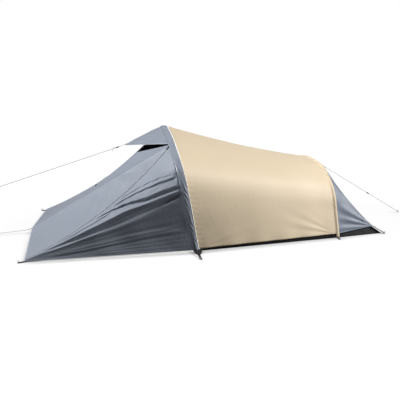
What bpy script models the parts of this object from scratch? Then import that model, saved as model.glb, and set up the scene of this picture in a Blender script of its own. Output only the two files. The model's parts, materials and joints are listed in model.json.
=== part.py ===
"""Ultralight tunnel tent on two bent poles, in metres, +Z up.

The foot end is towards +X and the zipped side towards -Y. The origin is the middle of the groundsheet's underside.
Every sheet of cloth is a closed thin solid. The poles, sleeves and cloth all follow the same two arch curves.
"""
import math

import bmesh
import bpy
import numpy as np
from mathutils import Matrix, Vector

# Clearances and cloth
GAP = 0.0003
CLOTH = 0.0012
SEWN_GAP = GAP + 0.5 * CLOTH
WEBBING = 0.0015

# Groundsheet: a tray with walls that lean in towards the foot end
FLOOR_LENGTH = 1.90
FLOOR_SETBACK = 0.03
FLOOR_CLOTH = 0.0015
FLOOR_WALL = 0.10
FLOOR_FOOT_WALL = 0.085
FLOOR_HALF_WIDTHS = (0.772, 0.668, 0.620)
RIM_HALF_WIDTHS = (0.735, 0.610, 0.530)
FOOT_WALL_LEAN = 0.115
FLOOR_WALL_BULGE = 0.006
FLOOR_STATIONS = 7

# Inner tent, with a round door in its front wall
INNER_DROP = 0.055
HANGER_COLUMN = 5 / 12
DOOR_RADIUS = 0.46
DOOR_CENTRE_HEIGHT = 0.26
DOOR_SILL = 0.13

# Arches: spacing of the seams, then half width at the feet, height and lean of the top
ARCH_SPACING = 1.415
FRONT_HALF_WIDTH = 0.79
FRONT_HEIGHT = 1.055
FRONT_LEAN = 0.191
REAR_HALF_WIDTH = 0.69
REAR_HEIGHT = 0.676
REAR_LEAN = 0.050

# Outlines of half an arch, as shares of its half width and height, from the foot to the top
FRONT_OUTLINE = ((1.0, 0.0), (1.03, 0.20), (1.072, 0.44), (1.062, 0.66), (0.93, 0.80), (0.60, 0.925), (0.25, 0.985),
                 (0.0, 1.0))
REAR_OUTLINE = ((1.0, 0.0), (0.955, 0.20), (0.903, 0.405), (0.85, 0.61), (0.72, 0.79), (0.487, 0.94), (0.25, 0.992),
                (0.0, 1.003))

# Poles
POLE_RADIUS = 0.00425
POLE_BORE = 0.0032
SPIGOT_RADIUS = 0.0028
SPIGOT_LENGTH = 0.045
FRONT_SECTIONS = 6
REAR_SECTIONS = 4
STEPS_PER_SECTION = 7
POLE_SIDES = 8
FOOT_CLEARANCE = 0.0035

# Sleeves: reach from the pole towards the body, towards the other side at the top, and at the foot
SLEEVE_BODY_REACH = 0.014
FRONT_SLEEVE_REACH = 0.046
REAR_SLEEVE_REACH = 0.013
SLEEVE_FOOT_REACH = 0.012
SLEEVE_TAPER_LENGTH = 0.50
SLEEVE_FOOT_LIFT = 0.012
SLEEVE_POLE_GAP = 0.0006

# Fly body
FRONT_HEM_LIFT = 0.026
REAR_HEM_LIFT = 0.048
ROOF_SAG = 0.030

# Vestibule
VESTIBULE_DEPTH = 1.585
CORNER_HALF_WIDTH = 0.775
VESTIBULE_HEM_LIFT = 0.008
NOSE_REACH = 0.044
NOSE_LIFT = 0.037
VENT_PEAK_REACH = 0.508
VENT_PEAK_HEIGHT = 0.804
RIDGE_SAG = 0.100
SEAM_SAG = 0.040
RIDGE_TOP_HALF_WIDTH = 0.53
LIP_HALF_WIDTH = 0.505
RIDGE_STEPS = 16
POINT_SHARE = 0.02
ZIP_END_SHARE = 0.01
FOLD_COUNT = 5
FOLD_HEIGHT = 0.011
SIDE_HOLLOW = 0.035

# Vent hood
HOOD_REACH = 0.641
HOOD_TIP_HEIGHT = 0.880
HOOD_HALF_WIDTH = 0.485
HOOD_POINT_SHARE = 0.05

# Tail
TAIL_REACH = 0.440
TAIL_HALF_WIDTH = 0.575
TAIL_CORNER_HEIGHT = 0.066
TAIL_SAG = 0.016
CORNER_COLUMN = 0.50

# Zips
ZIP_HALF_WIDTH = 0.005
ZIP_THICKNESS = 0.0024
SLIDER_LENGTH = 0.028
SLIDER_HEIGHT = 0.007
SLIDER_REST_SHARE = 0.979

# Cords, runners, straps and pegs
CORD_RADIUS = 0.00175
PULL_CORD_RADIUS = 0.0009
PULL_CORD_LENGTH = 0.042
PULL_CORD_BOW = 0.019
CORD_STEPS = 16
RUNNER_LENGTH = 0.030
RUNNER_RADIUS = 0.0065
RUNNER_BORE = 0.0023
HOOD_LOOP_LAP = 0.035
HOOD_LOOP_REACH = 0.022
FRONT_RUNNER_SET = 0.030
FRONT_CORD_FALL = 0.3067
FRONT_CORD_LENGTH = 1.36
KNOT_RADIUS = 0.005
REAR_LOOP_LAP = 0.004
REAR_CORD_REACH = 1.072
REAR_CORD_START = (0.046, -0.040)
REAR_RUNNER_SHARE = 0.62
NOSE_LOOP_REACH = 0.016
NOSE_CORD_REACH = 0.39
PEG_WIRE = 0.0020
PEG_HEIGHT = 0.022
PEG_HOOK = 0.0055
STRAP_WIDTH = 0.020
STRAP_EYE = 0.0034
STRAP_EYE_SIDES = 12
STRAP_LIFT = 0.004
CORNER_PEG_REACH = 0.020
CORNER_PULL = (-0.97, -0.24, 0.0)
CORNER_LAP = 0.048
FRONT_FOOT_LAP = 0.020
FRONT_FOOT_PEG_REACH = 0.185
REAR_FOOT_LAP = 0.012
REAR_FOOT_REACH = 0.030
BUCKLE_SHARE = 0.42
BUCKLE_HALF_WIDTH = 0.0145
BUCKLE_HALF_LENGTH = 0.010
BUCKLE_THICKNESS = 0.003
BUCKLE_SLOT_HALF_WIDTH = 0.0106
BUCKLE_SLOT_START = 0.0015
BUCKLE_SLOT_END = 0.0065
TAIL_PEG_REACH = (0.095, -0.065)
TAIL_PEG_LIFT = 0.008
TOGGLE_LENGTH = 0.022
TOGGLE_RADIUS = 0.0045
TOGGLE_SHARE = 0.62

# Places worked out from the sizes
X_ARCH = -0.5 * FLOOR_LENGTH - FLOOR_SETBACK
X_REAR = X_ARCH + ARCH_SPACING
CORNER = np.array([X_ARCH - VESTIBULE_DEPTH, -CORNER_HALF_WIDTH, VESTIBULE_HEM_LIFT])
NOSE = np.array([X_ARCH - VESTIBULE_DEPTH - NOSE_REACH, 0.0, NOSE_LIFT])
VENT_PEAK = np.array([X_ARCH - VENT_PEAK_REACH, 0.0, VENT_PEAK_HEIGHT])
HOOD_TIP = np.array([X_ARCH - HOOD_REACH, 0.0, HOOD_TIP_HEIGHT])
TAIL_CORNER = np.array([X_REAR + TAIL_REACH, -TAIL_HALF_WIDTH, TAIL_CORNER_HEIGHT])
MIRROR = np.array([1.0, -1.0, 1.0])
UP = np.array([0.0, 0.0, 1.0])


def unit(v):
    v = np.asarray(v, float)
    return v / np.linalg.norm(v, axis=-1, keepdims=True)


def lerp(a, b, t):
    return a + (b - a) * t


class Arch:
    """A bent pole in a leaning plane: a smooth curve through its outline, read by its length, u = -1 to 1."""

    def __init__(self, seam_x, body_side, half_width, height, lean, outline, reach, sections):
        self.height, self.lean, self.reach, self.sections = height, lean, reach, sections
        self.body_side = body_side
        self.base_x = seam_x - body_side * SLEEVE_BODY_REACH * math.hypot(1.0, lean / height)
        half = np.array([(half_width * w, height * h) for w, h in outline])
        points = np.vstack([half * (-1, 1), half[::-1][1:]])
        ends = np.vstack([2 * points[0] - points[1], points, 2 * points[-1] - points[-2]])
        t = np.linspace(0, 1, 50, endpoint=False)[:, None]
        runs = []
        for a, b, c, d in zip(ends[:-3], ends[1:-2], ends[2:-1], ends[3:]):
            runs.append(0.5 * (2 * b + (c - a) * t + (2 * a - 5 * b + 4 * c - d) * t ** 2
                               + (3 * b - a - 3 * c + d) * t ** 3))
        self.curve = np.vstack(runs + [points[-1:]])
        steps = np.linalg.norm(np.diff(self.curve, axis=0), axis=1)
        self.length = steps.sum()
        self.u = np.concatenate([[0], np.cumsum(steps)]) / self.length * 2 - 1
        self.axial = unit((height, 0.0, lean))
        self.rise = unit((-lean, 0.0, height))

    def at(self, u, axial=0.0, radial=0.0):
        """The point at u, moved along the plane's normal by axial and outwards in the plane by radial."""
        u = np.asarray(u, float)
        y, z = np.interp(u, self.u, self.curve[:, 0]), np.interp(u, self.u, self.curve[:, 1])
        p = np.stack([self.base_x - self.lean * z / self.height, y, z], -1)
        axial = np.asarray(axial, float)[..., None]
        radial = np.asarray(radial, float)[..., None]
        return p + axial * self.axial + radial * self.outward(u)

    def tangent(self, u):
        e = 0.01
        y = np.interp(u + e, self.u, self.curve[:, 0]) - np.interp(u - e, self.u, self.curve[:, 0])
        z = np.interp(u + e, self.u, self.curve[:, 1]) - np.interp(u - e, self.u, self.curve[:, 1])
        return unit(np.stack([-self.lean * z / self.height, y, z], -1))

    def outward(self, u):
        return unit(np.cross(self.axial, self.tangent(np.asarray(u, float))))

    def u_at_height(self, z):
        near = self.curve[:, 0] < 0
        return float(np.interp(z, self.curve[near, 1], self.u[near]))

    def u_at_half_width(self, y):
        top = (self.curve[:, 1] > 0.7 * self.height) & (self.curve[:, 0] <= 0)
        return float(np.interp(-y, self.curve[top, 0], self.u[top]))

    def sleeve_reach(self, u):
        """How far the sleeve reaches from the pole away from the body: narrow at the foot, full above the taper."""
        rise = np.clip((1 - np.abs(u)) * 0.5 * self.length / SLEEVE_TAPER_LENGTH, 0, 1)
        return self.reach - (self.reach - SLEEVE_FOOT_REACH) * (1 - rise) ** 2

    def body_edge(self, u, radial=0.0):
        return self.at(u, self.body_side * (SLEEVE_BODY_REACH + SEWN_GAP), radial)

    def far_edge(self, u, radial=0.0):
        return self.at(u, -self.body_side * (self.sleeve_reach(u) + SEWN_GAP), radial)

    def stations(self):
        """The places along the arch where the pole and the sleeve round it both change direction."""
        span = 1.0 - FOOT_CLEARANCE / (0.5 * self.length)
        return np.linspace(-span, span, self.sections * STEPS_PER_SECTION + 1)

    def on_stations(self, u):
        grid = self.stations()
        corners = self.at(grid)
        return np.stack([np.interp(u, grid, corners[:, k]) for k in range(3)], -1)


FRONT = Arch(X_ARCH, 1, FRONT_HALF_WIDTH, FRONT_HEIGHT, FRONT_LEAN, FRONT_OUTLINE, FRONT_SLEEVE_REACH, FRONT_SECTIONS)
REAR = Arch(X_REAR, -1, REAR_HALF_WIDTH, REAR_HEIGHT, REAR_LEAN, REAR_OUTLINE, REAR_SLEEVE_REACH, REAR_SECTIONS)
U_RIDGE = FRONT.u_at_half_width(RIDGE_TOP_HALF_WIDTH)
U_LIP = FRONT.u_at_half_width(LIP_HALF_WIDTH)
U_HOOD = FRONT.u_at_half_width(HOOD_HALF_WIDTH)


class Ridge:
    """The near ridge, which carries the zip: a circular arc from the corner to the arch that sags below its chord."""

    def __init__(self):
        self.start = lerp(CORNER, NOSE, 0.015)
        self.end = FRONT.far_edge(U_RIDGE)
        chord = self.end - self.start
        half = 0.5 * np.linalg.norm(chord)
        self.radius = (half ** 2 + RIDGE_SAG ** 2) / (2 * RIDGE_SAG)
        self.along = unit(chord)
        self.down = unit(-UP + (UP @ self.along) * self.along)
        self.axis = unit(np.cross(self.down, self.along))
        self.centre = 0.5 * (self.start + self.end) - self.down * (self.radius - RIDGE_SAG)
        self.sweep = math.asin(half / self.radius)
        middle = self.centre + self.radius * self.down
        towards = unit(lerp(NOSE, VENT_PEAK, 0.5) - middle) - unit(lerp(CORNER, FRONT.at(-1.0), 0.6) - middle)
        towards = unit(towards - (towards @ self.along) * self.along)
        self.mix = (towards @ self.down, towards @ self.axis)
        self.side = 1.0 if np.cross(self.along, towards)[2] > 0 else -1.0

    def radial(self, p):
        a = ((2 * np.asarray(p, float) - 1) * self.sweep)[..., None]
        return self.down * np.cos(a) + self.along * np.sin(a)

    def tangent(self, p):
        a = ((2 * np.asarray(p, float) - 1) * self.sweep)[..., None]
        return self.along * np.cos(a) - self.down * np.sin(a)

    def across(self, p):
        return self.mix[0] * self.radial(p) + self.mix[1] * self.axis

    def over(self, p):
        return self.side * np.cross(self.tangent(p), self.across(p))

    def at(self, p, across=0.0, over=0.0):
        """The point at share p of the arc, moved by across towards the vestibule's front and by over outwards."""
        return self.centre + self.radius * self.radial(p) + across * self.across(p) + over * self.over(p)


RIDGE = Ridge()
RIDGE_EDGE = ZIP_HALF_WIDTH + SEWN_GAP
RIDGE_SHARES = np.append(np.linspace(POINT_SHARE, 1 - ZIP_END_SHARE, RIDGE_STEPS), 1.0)
RIDGE_TOP = RIDGE.at(1.0, RIDGE_EDGE)


def clear_scene():
    for thing in list(bpy.data.objects):
        bpy.data.objects.remove(thing, do_unlink=True)


def collection(name):
    group = bpy.data.collections.new(name)
    bpy.context.scene.collection.children.link(group)
    return group


FINISHES = {
    "sand_cloth": ((0.70, 0.57, 0.38), 0.60, 0.0),
    "grey_cloth": ((0.23, 0.27, 0.34), 0.55, 0.0),
    "black_cloth": ((0.012, 0.012, 0.014), 0.50, 0.0),
    "inner_cloth": ((0.62, 0.63, 0.62), 0.75, 0.0),
    "black_webbing": ((0.015, 0.015, 0.015), 0.70, 0.0),
    "tube_metal": ((0.10, 0.11, 0.12), 0.30, 1.0),
    "peg_metal": ((0.60, 0.61, 0.63), 0.35, 1.0),
    "black_plastic": ((0.012, 0.012, 0.012), 0.40, 0.0),
    "grey_zip": ((0.13, 0.15, 0.18), 0.50, 0.0),
    "guy_cord": ((0.42, 0.12, 0.06), 0.70, 0.0),
    "pale_cord": ((0.55, 0.55, 0.56), 0.70, 0.0),
}


def material(name):
    made = bpy.data.materials.get(name)
    if made is None:
        colour, roughness, metallic = FINISHES[name]
        made = bpy.data.materials.new(name)
        made.use_nodes = True
        shader = made.node_tree.nodes["Principled BSDF"]
        shader.inputs["Base Color"].default_value = (*colour, 1.0)
        shader.inputs["Roughness"].default_value = roughness
        shader.inputs["Metallic"].default_value = metallic
    return made


def add(name, data, finish, group):
    made = bpy.data.objects.new(name, data)
    group.objects.link(made)
    data.materials.append(material(finish))
    return made


def mesh_of(name, points, faces, closed=False):
    """A mesh with its faces turned the same way, outwards where it is closed, and coincident corners joined."""
    mesh = bpy.data.meshes.new(name)
    mesh.from_pydata([tuple(p) for p in np.reshape(points, (-1, 3))], [], faces)
    work = bmesh.new()
    work.from_mesh(mesh)
    bmesh.ops.remove_doubles(work, verts=work.verts, dist=0.00005)
    bmesh.ops.recalc_face_normals(work, faces=work.faces)
    if closed and work.calc_volume(signed=True) < 0.0:
        bmesh.ops.reverse_faces(work, faces=work.faces)
    work.to_mesh(mesh)
    work.free()
    mesh.shade_smooth()
    return mesh


def thicken(made, thickness):
    wall = made.modifiers.new("thickness", "SOLIDIFY")
    wall.thickness = thickness
    wall.offset = 0.0


def cloth(name, grid, finish, group, thickness=CLOTH, loop=False):
    """A sheet through a grid of points, given its thickness by Solidify. loop closes each row on itself."""
    rows, cols = grid.shape[:2]
    faces = []
    for i in range(rows - 1):
        for j in range(cols if loop else cols - 1):
            k = (j + 1) % cols
            faces.append((i * cols + j, i * cols + k, (i + 1) * cols + k, (i + 1) * cols + j))
    made = add(name, mesh_of(name, grid, faces), finish, group)
    thicken(made, thickness)
    return made


def solid(name, rings, finish, group, turn_ring=None):
    """A closed solid through rings of points, with a flat cap on the first and the last.

    A thin wall that goes up and comes down again names the ring where it turns: its sides are then triangles that
    fold along the same lines on both skins, so the skins stay apart.
    """
    count, sides = rings.shape[:2]
    faces = []
    for i in range(count - 1):
        for j in range(sides):
            k = (j + 1) % sides
            side = (i * sides + j, i * sides + k, (i + 1) * sides + k, (i + 1) * sides + j)
            if turn_ring is None:
                faces.append(side)
                continue
            a, b, c, d = side if i < turn_ring else side[1:] + side[:1]
            faces.append((a, b, c))
            faces.append((a, c, d))
    faces.append(tuple(range(sides))[::-1])
    faces.append(tuple(range((count - 1) * sides, count * sides)))
    mesh = mesh_of(name, rings, faces, closed=True)
    mesh.set_sharp_from_angle(angle=math.radians(40))
    return add(name, mesh, finish, group)


def cord(name, points, radius, finish, group):
    """A round cord through points, as a bevelled curve with filled caps."""
    curve = bpy.data.curves.new(name, "CURVE")
    curve.dimensions = "3D"
    curve.bevel_depth = radius
    curve.bevel_resolution = 2
    curve.use_fill_caps = True
    run = curve.splines.new("POLY")
    run.points.add(len(points) - 1)
    for place, p in zip(run.points, points):
        place.co = (*p, 1.0)
    return add(name, curve, finish, group)


def flat_piece(name, rings, thickness, finish, group):
    """A flat piece cut from sheet: the first ring is its outline and the others are holes."""
    curve = bpy.data.curves.new(name, "CURVE")
    curve.dimensions = "2D"
    curve.fill_mode = "BOTH"
    curve.extrude = 0.5 * thickness
    for ring in rings:
        spline = curve.splines.new("POLY")
        spline.points.add(len(ring) - 1)
        for place, (x, y) in zip(spline.points, ring):
            place.co = (x, y, 0.0, 1.0)
        spline.use_cyclic_u = True
    return add(name, curve, finish, group)


def turned(name, profile, finish, group, steps=12):
    """A turned piece: a closed profile of (radius, height) spun about Z."""
    mesh = bpy.data.meshes.new(name)
    count = len(profile)
    mesh.from_pydata([(r, 0.0, z) for r, z in profile], [(i, (i + 1) % count) for i in range(count)], [])
    made = add(name, mesh, finish, group)
    spin = made.modifiers.new("turn", "SCREW")
    spin.steps = steps
    spin.render_steps = steps
    spin.use_merge_vertices = True
    spin.merge_threshold = 0.00001
    spin.use_normal_calculate = True
    spin.use_smooth_shade = True
    return made


def block(name, size, finish, group, round_edge):
    """A block with rounded edges, its size applied to the mesh before the bevel."""
    mesh = bpy.data.meshes.new(name)
    work = bmesh.new()
    bmesh.ops.create_cube(work, size=1.0)
    bmesh.ops.scale(work, vec=Vector(size), verts=work.verts)
    work.to_mesh(mesh)
    work.free()
    made = add(name, mesh, finish, group)
    edge = made.modifiers.new("rounding", "BEVEL")
    edge.width = round_edge
    edge.segments = 2
    return made


def frame_at(origin, z_way, x_way):
    """The placing with its origin here, its Z along z_way and its X as near x_way as it can be."""
    z = unit(z_way)
    x = unit(np.asarray(x_way, float) - (np.asarray(x_way, float) @ z) * z)
    y = np.cross(z, x)
    turn = Matrix([[x[k], y[k], z[k]] for k in range(3)])
    return Matrix.Translation(Vector(origin)) @ turn.to_4x4()


def on_pivot(pieces, name, origin, axis, x_way, group):
    """Hangs pieces that move together on an empty that stands on their joint axis, its Z along the axis."""
    pivot = bpy.data.objects.new(name, None)
    pivot.empty_display_size = 0.05
    group.objects.link(pivot)
    pivot.matrix_world = frame_at(origin, axis, x_way)
    for made in pieces:
        place = made.matrix_world.copy()
        made.parent = pivot
        made.matrix_parent_inverse = pivot.matrix_world.inverted()
        made.matrix_world = place


def arc_points(radius, start, end, count):
    a = np.linspace(start, end, count)
    return np.stack([radius * np.cos(a), radius * np.sin(a)], -1)


def rectangle(half_width, low, high):
    """A rectangle's corners, centred across and from low to high along."""
    return [(-half_width, low), (half_width, low), (half_width, high), (-half_width, high)]


def strap(name, start, end, group, eye=True, up=UP):
    """A flat webbing strap with a round end, and an eye there for the peg."""
    length = float(np.linalg.norm(np.subtract(end, start)))
    half = 0.5 * STRAP_WIDTH
    tip = arc_points(half, -0.5 * math.pi, 0.5 * math.pi, 9) + (length, 0)
    outline = [(0.0, -half), *[tuple(p) for p in tip], (0.0, half)]
    rings = [outline]
    if eye:
        hole = arc_points(STRAP_EYE, 0, 2 * math.pi, STRAP_EYE_SIDES + 1)[:-1] + (length, 0)
        rings.append([tuple(p) for p in hole])
    made = flat_piece(name, rings, WEBBING, "black_webbing", group)
    way = unit(np.subtract(end, start))
    normal = unit(np.asarray(up, float) - (np.asarray(up, float) @ way) * way)
    made.matrix_world = frame_at(start, normal, way)
    return made


def peg_in_eye(name, start, end, group):
    """A peg through a strap's eye, where the strap's pull holds it: against the eye's outer side."""
    way = unit(np.subtract(end, start))
    flat, steep = math.hypot(way[0], way[1]), abs(way[2])
    room = math.cos(math.pi / STRAP_EYE_SIDES) * STRAP_EYE * flat - 0.5 * WEBBING * steep - PEG_WIRE - 1.4 * GAP
    place = np.asarray(end[:2]) + room * unit(way[:2])
    return peg(name, place, way[:2], group)


def cord_end(stake, way):
    """Where a cord's flat end stands clear of a peg's shank."""
    flat, steep = math.hypot(way[0], way[1]), abs(way[2])
    return stake - (PEG_WIRE + GAP + CORD_RADIUS * steep) / flat * way


def peg(name, place, outward, group):
    """A wire peg: a shank that stands on the ground line, with a hook over the strap."""
    x, y = place
    away = unit((*outward, 0.0))
    turn = np.linspace(math.pi, -0.15 * math.pi, 8)
    shank = [np.array([x, y, 0.0]), np.array([x, y, 0.5 * PEG_HEIGHT])]
    hook = [np.array([x, y, PEG_HEIGHT - PEG_HOOK]) + PEG_HOOK * ((1 + math.cos(a)) * away + math.sin(a) * UP)
            for a in turn]
    return cord(name, shank + hook, PEG_WIRE, "peg_metal", group)


def make_poles(group):
    """The pole sections: a turned profile carried along each arch, with a spigot and a socket between sections."""
    turn = np.linspace(0, 2 * math.pi, POLE_SIDES, endpoint=False)
    for arch, title in ((FRONT, "front"), (REAR, "rear")):
        stations = arch.stations()
        spigot = SPIGOT_LENGTH / (0.5 * arch.length)
        half_gap = 0.5 * GAP / (0.5 * arch.length)
        for i in range(arch.sections):
            run = stations[i * STEPS_PER_SECTION:(i + 1) * STEPS_PER_SECTION + 1]
            profile = []
            start, end = run[0], run[-1]
            if i > 0:
                start = start + half_gap
                profile += [(start - spigot, SPIGOT_RADIUS), (start, SPIGOT_RADIUS)]
            profile += [(start, POLE_RADIUS)] + [(u, POLE_RADIUS) for u in run[1:-1]]
            if i < arch.sections - 1:
                end = end - half_gap
                profile += [(end, POLE_RADIUS), (end, POLE_BORE), (end - spigot - 4 * half_gap, POLE_BORE)]
            else:
                profile += [(end, POLE_RADIUS)]
            us = np.array([u for u, _ in profile])
            radii = np.array([r for _, r in profile])[:, None, None]
            out = arch.outward(us)[:, None]
            ring = np.cos(turn)[None, :, None] * out + np.sin(turn)[None, :, None] * arch.axial
            solid("%s_pole_section_%d" % (title, i + 1), arch.on_stations(us)[:, None] + radii * ring,
                  "tube_metal", group)


def make_sleeve(name, arch, finish, group):
    """A sleeve: a flat tube of cloth round the pole, open at both feet."""
    us = arch.stations()
    us[[0, -1]] -= np.sign(us[[0, -1]]) * SLEEVE_FOOT_LIFT / (0.5 * arch.length)
    section = np.array([(1, 0), (0.86, 1), (0, 1), (-0.86, 1), (-1, 0), (-0.86, -1), (0, -1), (0.86, -1)], float)
    reach = arch.sleeve_reach(us)
    middle = arch.body_side * 0.5 * (SLEEVE_BODY_REACH - reach)[:, None, None] * arch.axial
    wide = (0.5 * (SLEEVE_BODY_REACH + reach) - 0.5 * CLOTH)[:, None, None]
    high = POLE_RADIUS + SLEEVE_POLE_GAP + 0.5 * CLOTH
    ring = (arch.on_stations(us)[:, None] + middle + wide * section[None, :, :1] * arch.axial
            + high * section[None, :, 1:] * arch.outward(us)[:, None])
    return cloth(name, ring, finish, group, loop=True)


def make_body(group):
    """The sand body: straight lines from arch to arch, drawn in by a sag that fades towards the hem."""
    s = np.linspace(0, 1, 11)[:, None]
    w = np.linspace(-1, 1, 37)
    u_front = -w * FRONT.u_at_height(FRONT_HEM_LIFT)
    u_rear = -w * REAR.u_at_height(REAR_HEM_LIFT)
    out = lerp(FRONT.outward(u_front)[None], REAR.outward(u_rear)[None], s[..., None])
    sag = ROOF_SAG * 4 * s * (1 - s) * (1 - np.abs(w[None]) ** 4)
    grid = lerp(FRONT.body_edge(u_front)[None], REAR.body_edge(u_rear)[None], s[..., None]) - sag[..., None] * out
    return cloth("fly_body", grid, "sand_cloth", group)


def side_grid(edge, far=False):
    """A vestibule side: a cone from the ground corner to the arch, hollowed, with folds that fan from the corner."""
    p = RIDGE_SHARES[:, None]
    q = np.linspace(0, 1, 25)[None, :]
    foot = FRONT.u_at_height(VESTIBULE_HEM_LIFT + 0.012)
    top = U_RIDGE - edge / (0.5 * FRONT.length)
    arch_edge = FRONT.far_edge(lerp(foot, top, q[0]))[None]
    ridge = RIDGE.at(RIDGE_SHARES, -edge)[:, None]
    straight = lerp(CORNER, arch_edge, p[..., None])
    pull = ridge - lerp(CORNER, arch_edge[:, -1:], p[..., None])
    pull[-1] = 0.0
    inward = unit(np.cross(FRONT.at(-1.0) - CORNER, RIDGE.at(0.5) - CORNER))
    inward = inward * math.copysign(1.0, inward[1])
    between = 4 * q * (1 - q)
    hollow = SIDE_HOLLOW * 4 * p * (1 - p) * between
    folds = FOLD_HEIGHT * np.sin(2 * math.pi * FOLD_COUNT * q) * np.sin(math.pi * p ** 0.8) * between
    grid = straight + pull * (q ** 2)[..., None] + (hollow + folds)[..., None] * inward
    return grid * MIRROR if far else grid


def seam(t):
    """The centre seam, from the nose to the vent's peak, with its sag."""
    t = np.asarray(t, float)
    return lerp(NOSE, VENT_PEAK, t[..., None]) - (SEAM_SAG * 4 * t * (1 - t))[..., None] * UP


def fold_line(t, side):
    """The straight line the door folds back on, half a clearance towards the flap for -1 or the fixed front for 1."""
    along = unit(RIDGE_TOP - NOSE)
    across = np.array([0.0, 1.0, 0.0])
    across = unit(across - (across @ along) * along)
    return lerp(NOSE, RIDGE_TOP, np.asarray(t, float)[..., None]) + side * SEWN_GAP * across


def make_vestibule(group):
    """The vestibule: two sides, the door flap beside the zip, and a fixed front in a near and a far part."""
    cloth("vestibule_side_near", side_grid(RIDGE_EDGE), "grey_cloth", group)
    cloth("vestibule_side_far", side_grid(SEWN_GAP, far=True), "grey_cloth", group)
    p = RIDGE_SHARES[:-1]
    flap_rows = lerp(RIDGE.at(p, RIDGE_EDGE)[:, None], fold_line(p, -1)[:, None],
                     np.linspace(0, 1, 8)[None, :, None])
    flap = cloth("vestibule_door_flap", flap_rows, "grey_cloth", group)
    on_pivot((flap,), "vestibule_door_pivot", NOSE, RIDGE_TOP - NOSE, UP, group)
    p = RIDGE_SHARES
    centre = seam(p) - SEWN_GAP * np.array([0, 1, 0])
    lip = FRONT.far_edge(U_LIP)[None]
    centre = np.vstack([centre, centre[-1:]])
    outer = np.vstack([fold_line(p, 1), lip])
    near_rows = lerp(outer[:, None], centre[:, None], np.linspace(0, 1, 7)[None, :, None])
    cloth("vestibule_front_near", near_rows, "grey_cloth", group)
    outer = np.vstack([RIDGE.at(p, SEWN_GAP), lip])
    far_rows = lerp(centre[:, None], outer[:, None], np.linspace(0, 1, 9)[None, :, None]) * MIRROR
    cloth("vestibule_front_far", far_rows, "grey_cloth", group)


def make_hood(group):
    """The vent hood: straight lines from its tip to the arch's top."""
    p = np.linspace(HOOD_POINT_SHARE, 1, 8)[:, None, None]
    edge = FRONT.far_edge(np.linspace(U_HOOD, -U_HOOD, 19))[None]
    return cloth("vent_hood", lerp(HOOD_TIP, edge, p), "grey_cloth", group)


def hem_columns(start, corner, w):
    """Points along a hem that runs foot, near corner, far corner, foot, for columns w from -1 to 1."""
    knots = np.array([-1.0, -CORNER_COLUMN, CORNER_COLUMN, 1.0])
    points = np.array([start, corner, corner * MIRROR, start * MIRROR])
    return np.stack([np.interp(w, knots, points[:, k]) for k in range(3)], -1)


def make_tail(group):
    """The tail: straight lines from the rear arch to a hem with two ground corners."""
    w = np.linspace(-1, 1, 37)
    u = -w * REAR.u_at_height(REAR_HEM_LIFT)
    edge = REAR.far_edge(u)
    p = np.linspace(0, 1, 10)[:, None, None]
    sag = TAIL_SAG * 4 * p * (1 - p) * (1 - np.abs(w[None, :, None]) ** 3)
    grid = lerp(edge[None], hem_columns(edge[0], TAIL_CORNER, w)[None], p) - sag * REAR.outward(u)[None]
    return cloth("tail_panel", grid, "grey_cloth", group)


# The floor's near half: base places (x, half width) and rim places (x, half width, height), front to foot end
FLOOR_BASE = np.array([[-0.5 * FLOOR_LENGTH, FLOOR_HALF_WIDTHS[0]],
                       [X_REAR, FLOOR_HALF_WIDTHS[1]],
                       [0.5 * FLOOR_LENGTH, FLOOR_HALF_WIDTHS[2]]])
FLOOR_RIM = np.array([[-0.5 * FLOOR_LENGTH, RIM_HALF_WIDTHS[0], FLOOR_WALL],
                      [X_REAR, RIM_HALF_WIDTHS[1], FLOOR_WALL],
                      [0.5 * FLOOR_LENGTH - FOOT_WALL_LEAN, RIM_HALF_WIDTHS[2], FLOOR_FOOT_WALL]])


def rim_near(s):
    """The rim along the near side: s = 0 at the front, 1 at the rear arch, 2 at the foot end's corner."""
    return np.stack([np.interp(s, (0, 1, 2), FLOOR_RIM[:, 0]), -np.interp(s, (0, 1, 2), FLOOR_RIM[:, 1]),
                     np.interp(s, (0, 1, 2), FLOOR_RIM[:, 2])], -1)


def base_near(s):
    """The floor's outer base corner line along the near side, at the same s as the rim."""
    return np.stack([np.interp(s, (0, 1, 2), FLOOR_BASE[:, 0]), -np.interp(s, (0, 1, 2), FLOOR_BASE[:, 1]),
                     np.zeros(np.shape(s))], -1)


def make_floor(group):
    """The tray floor: rings from the outer base over a bulged wall and the rim to the inner base, with two caps."""
    s = np.linspace(0.0, 2.0, FLOOR_STATIONS)
    base, rim = base_near(s), rim_near(s)
    out = np.array([0.0, -1.0, 0.0]) * np.sin(math.pi * s / 2)[:, None]
    wall = lerp(base, rim, 0.5) + FLOOR_WALL_BULGE * out
    ends = np.zeros((len(s), 3))
    ends[0, 0], ends[-1, 0] = 1.0, -1.0
    inward = FLOOR_CLOTH * (ends + (0, 1, 0))
    near = np.array([base, wall, rim, rim + inward, wall + inward, base + inward + FLOOR_CLOTH * UP])
    rings = np.concatenate([near, near[:, ::-1] * MIRROR], 1)
    return solid("bathtub_floor", rings, "black_cloth", group, turn_ring=3)


WALL_ORIGIN = np.array([FRONT.base_x, 0.0, 0.0])
SILL_RISE = DOOR_SILL / FRONT.rise[2]
RIM_LIFT = GAP + 0.0004
INNER_FRONT = float((rim_near(0.0) + RIM_LIFT * UP - WALL_ORIGIN) @ FRONT.axial)


def canopy_front(w):
    """The inner canopy's front edge, parallel to the arch, brought down to the floor's rim at both ends."""
    u = -w * FRONT.u_at_height(FLOOR_WALL)
    edge = FRONT.at(u, INNER_FRONT, -INNER_DROP)
    foot = rim_near(0.0) + RIM_LIFT * UP
    pull = (np.abs(w) ** 6)[:, None]
    return edge + pull * np.where(w[:, None] < 0, foot - edge[0], (foot - edge[0]) * MIRROR)


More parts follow.
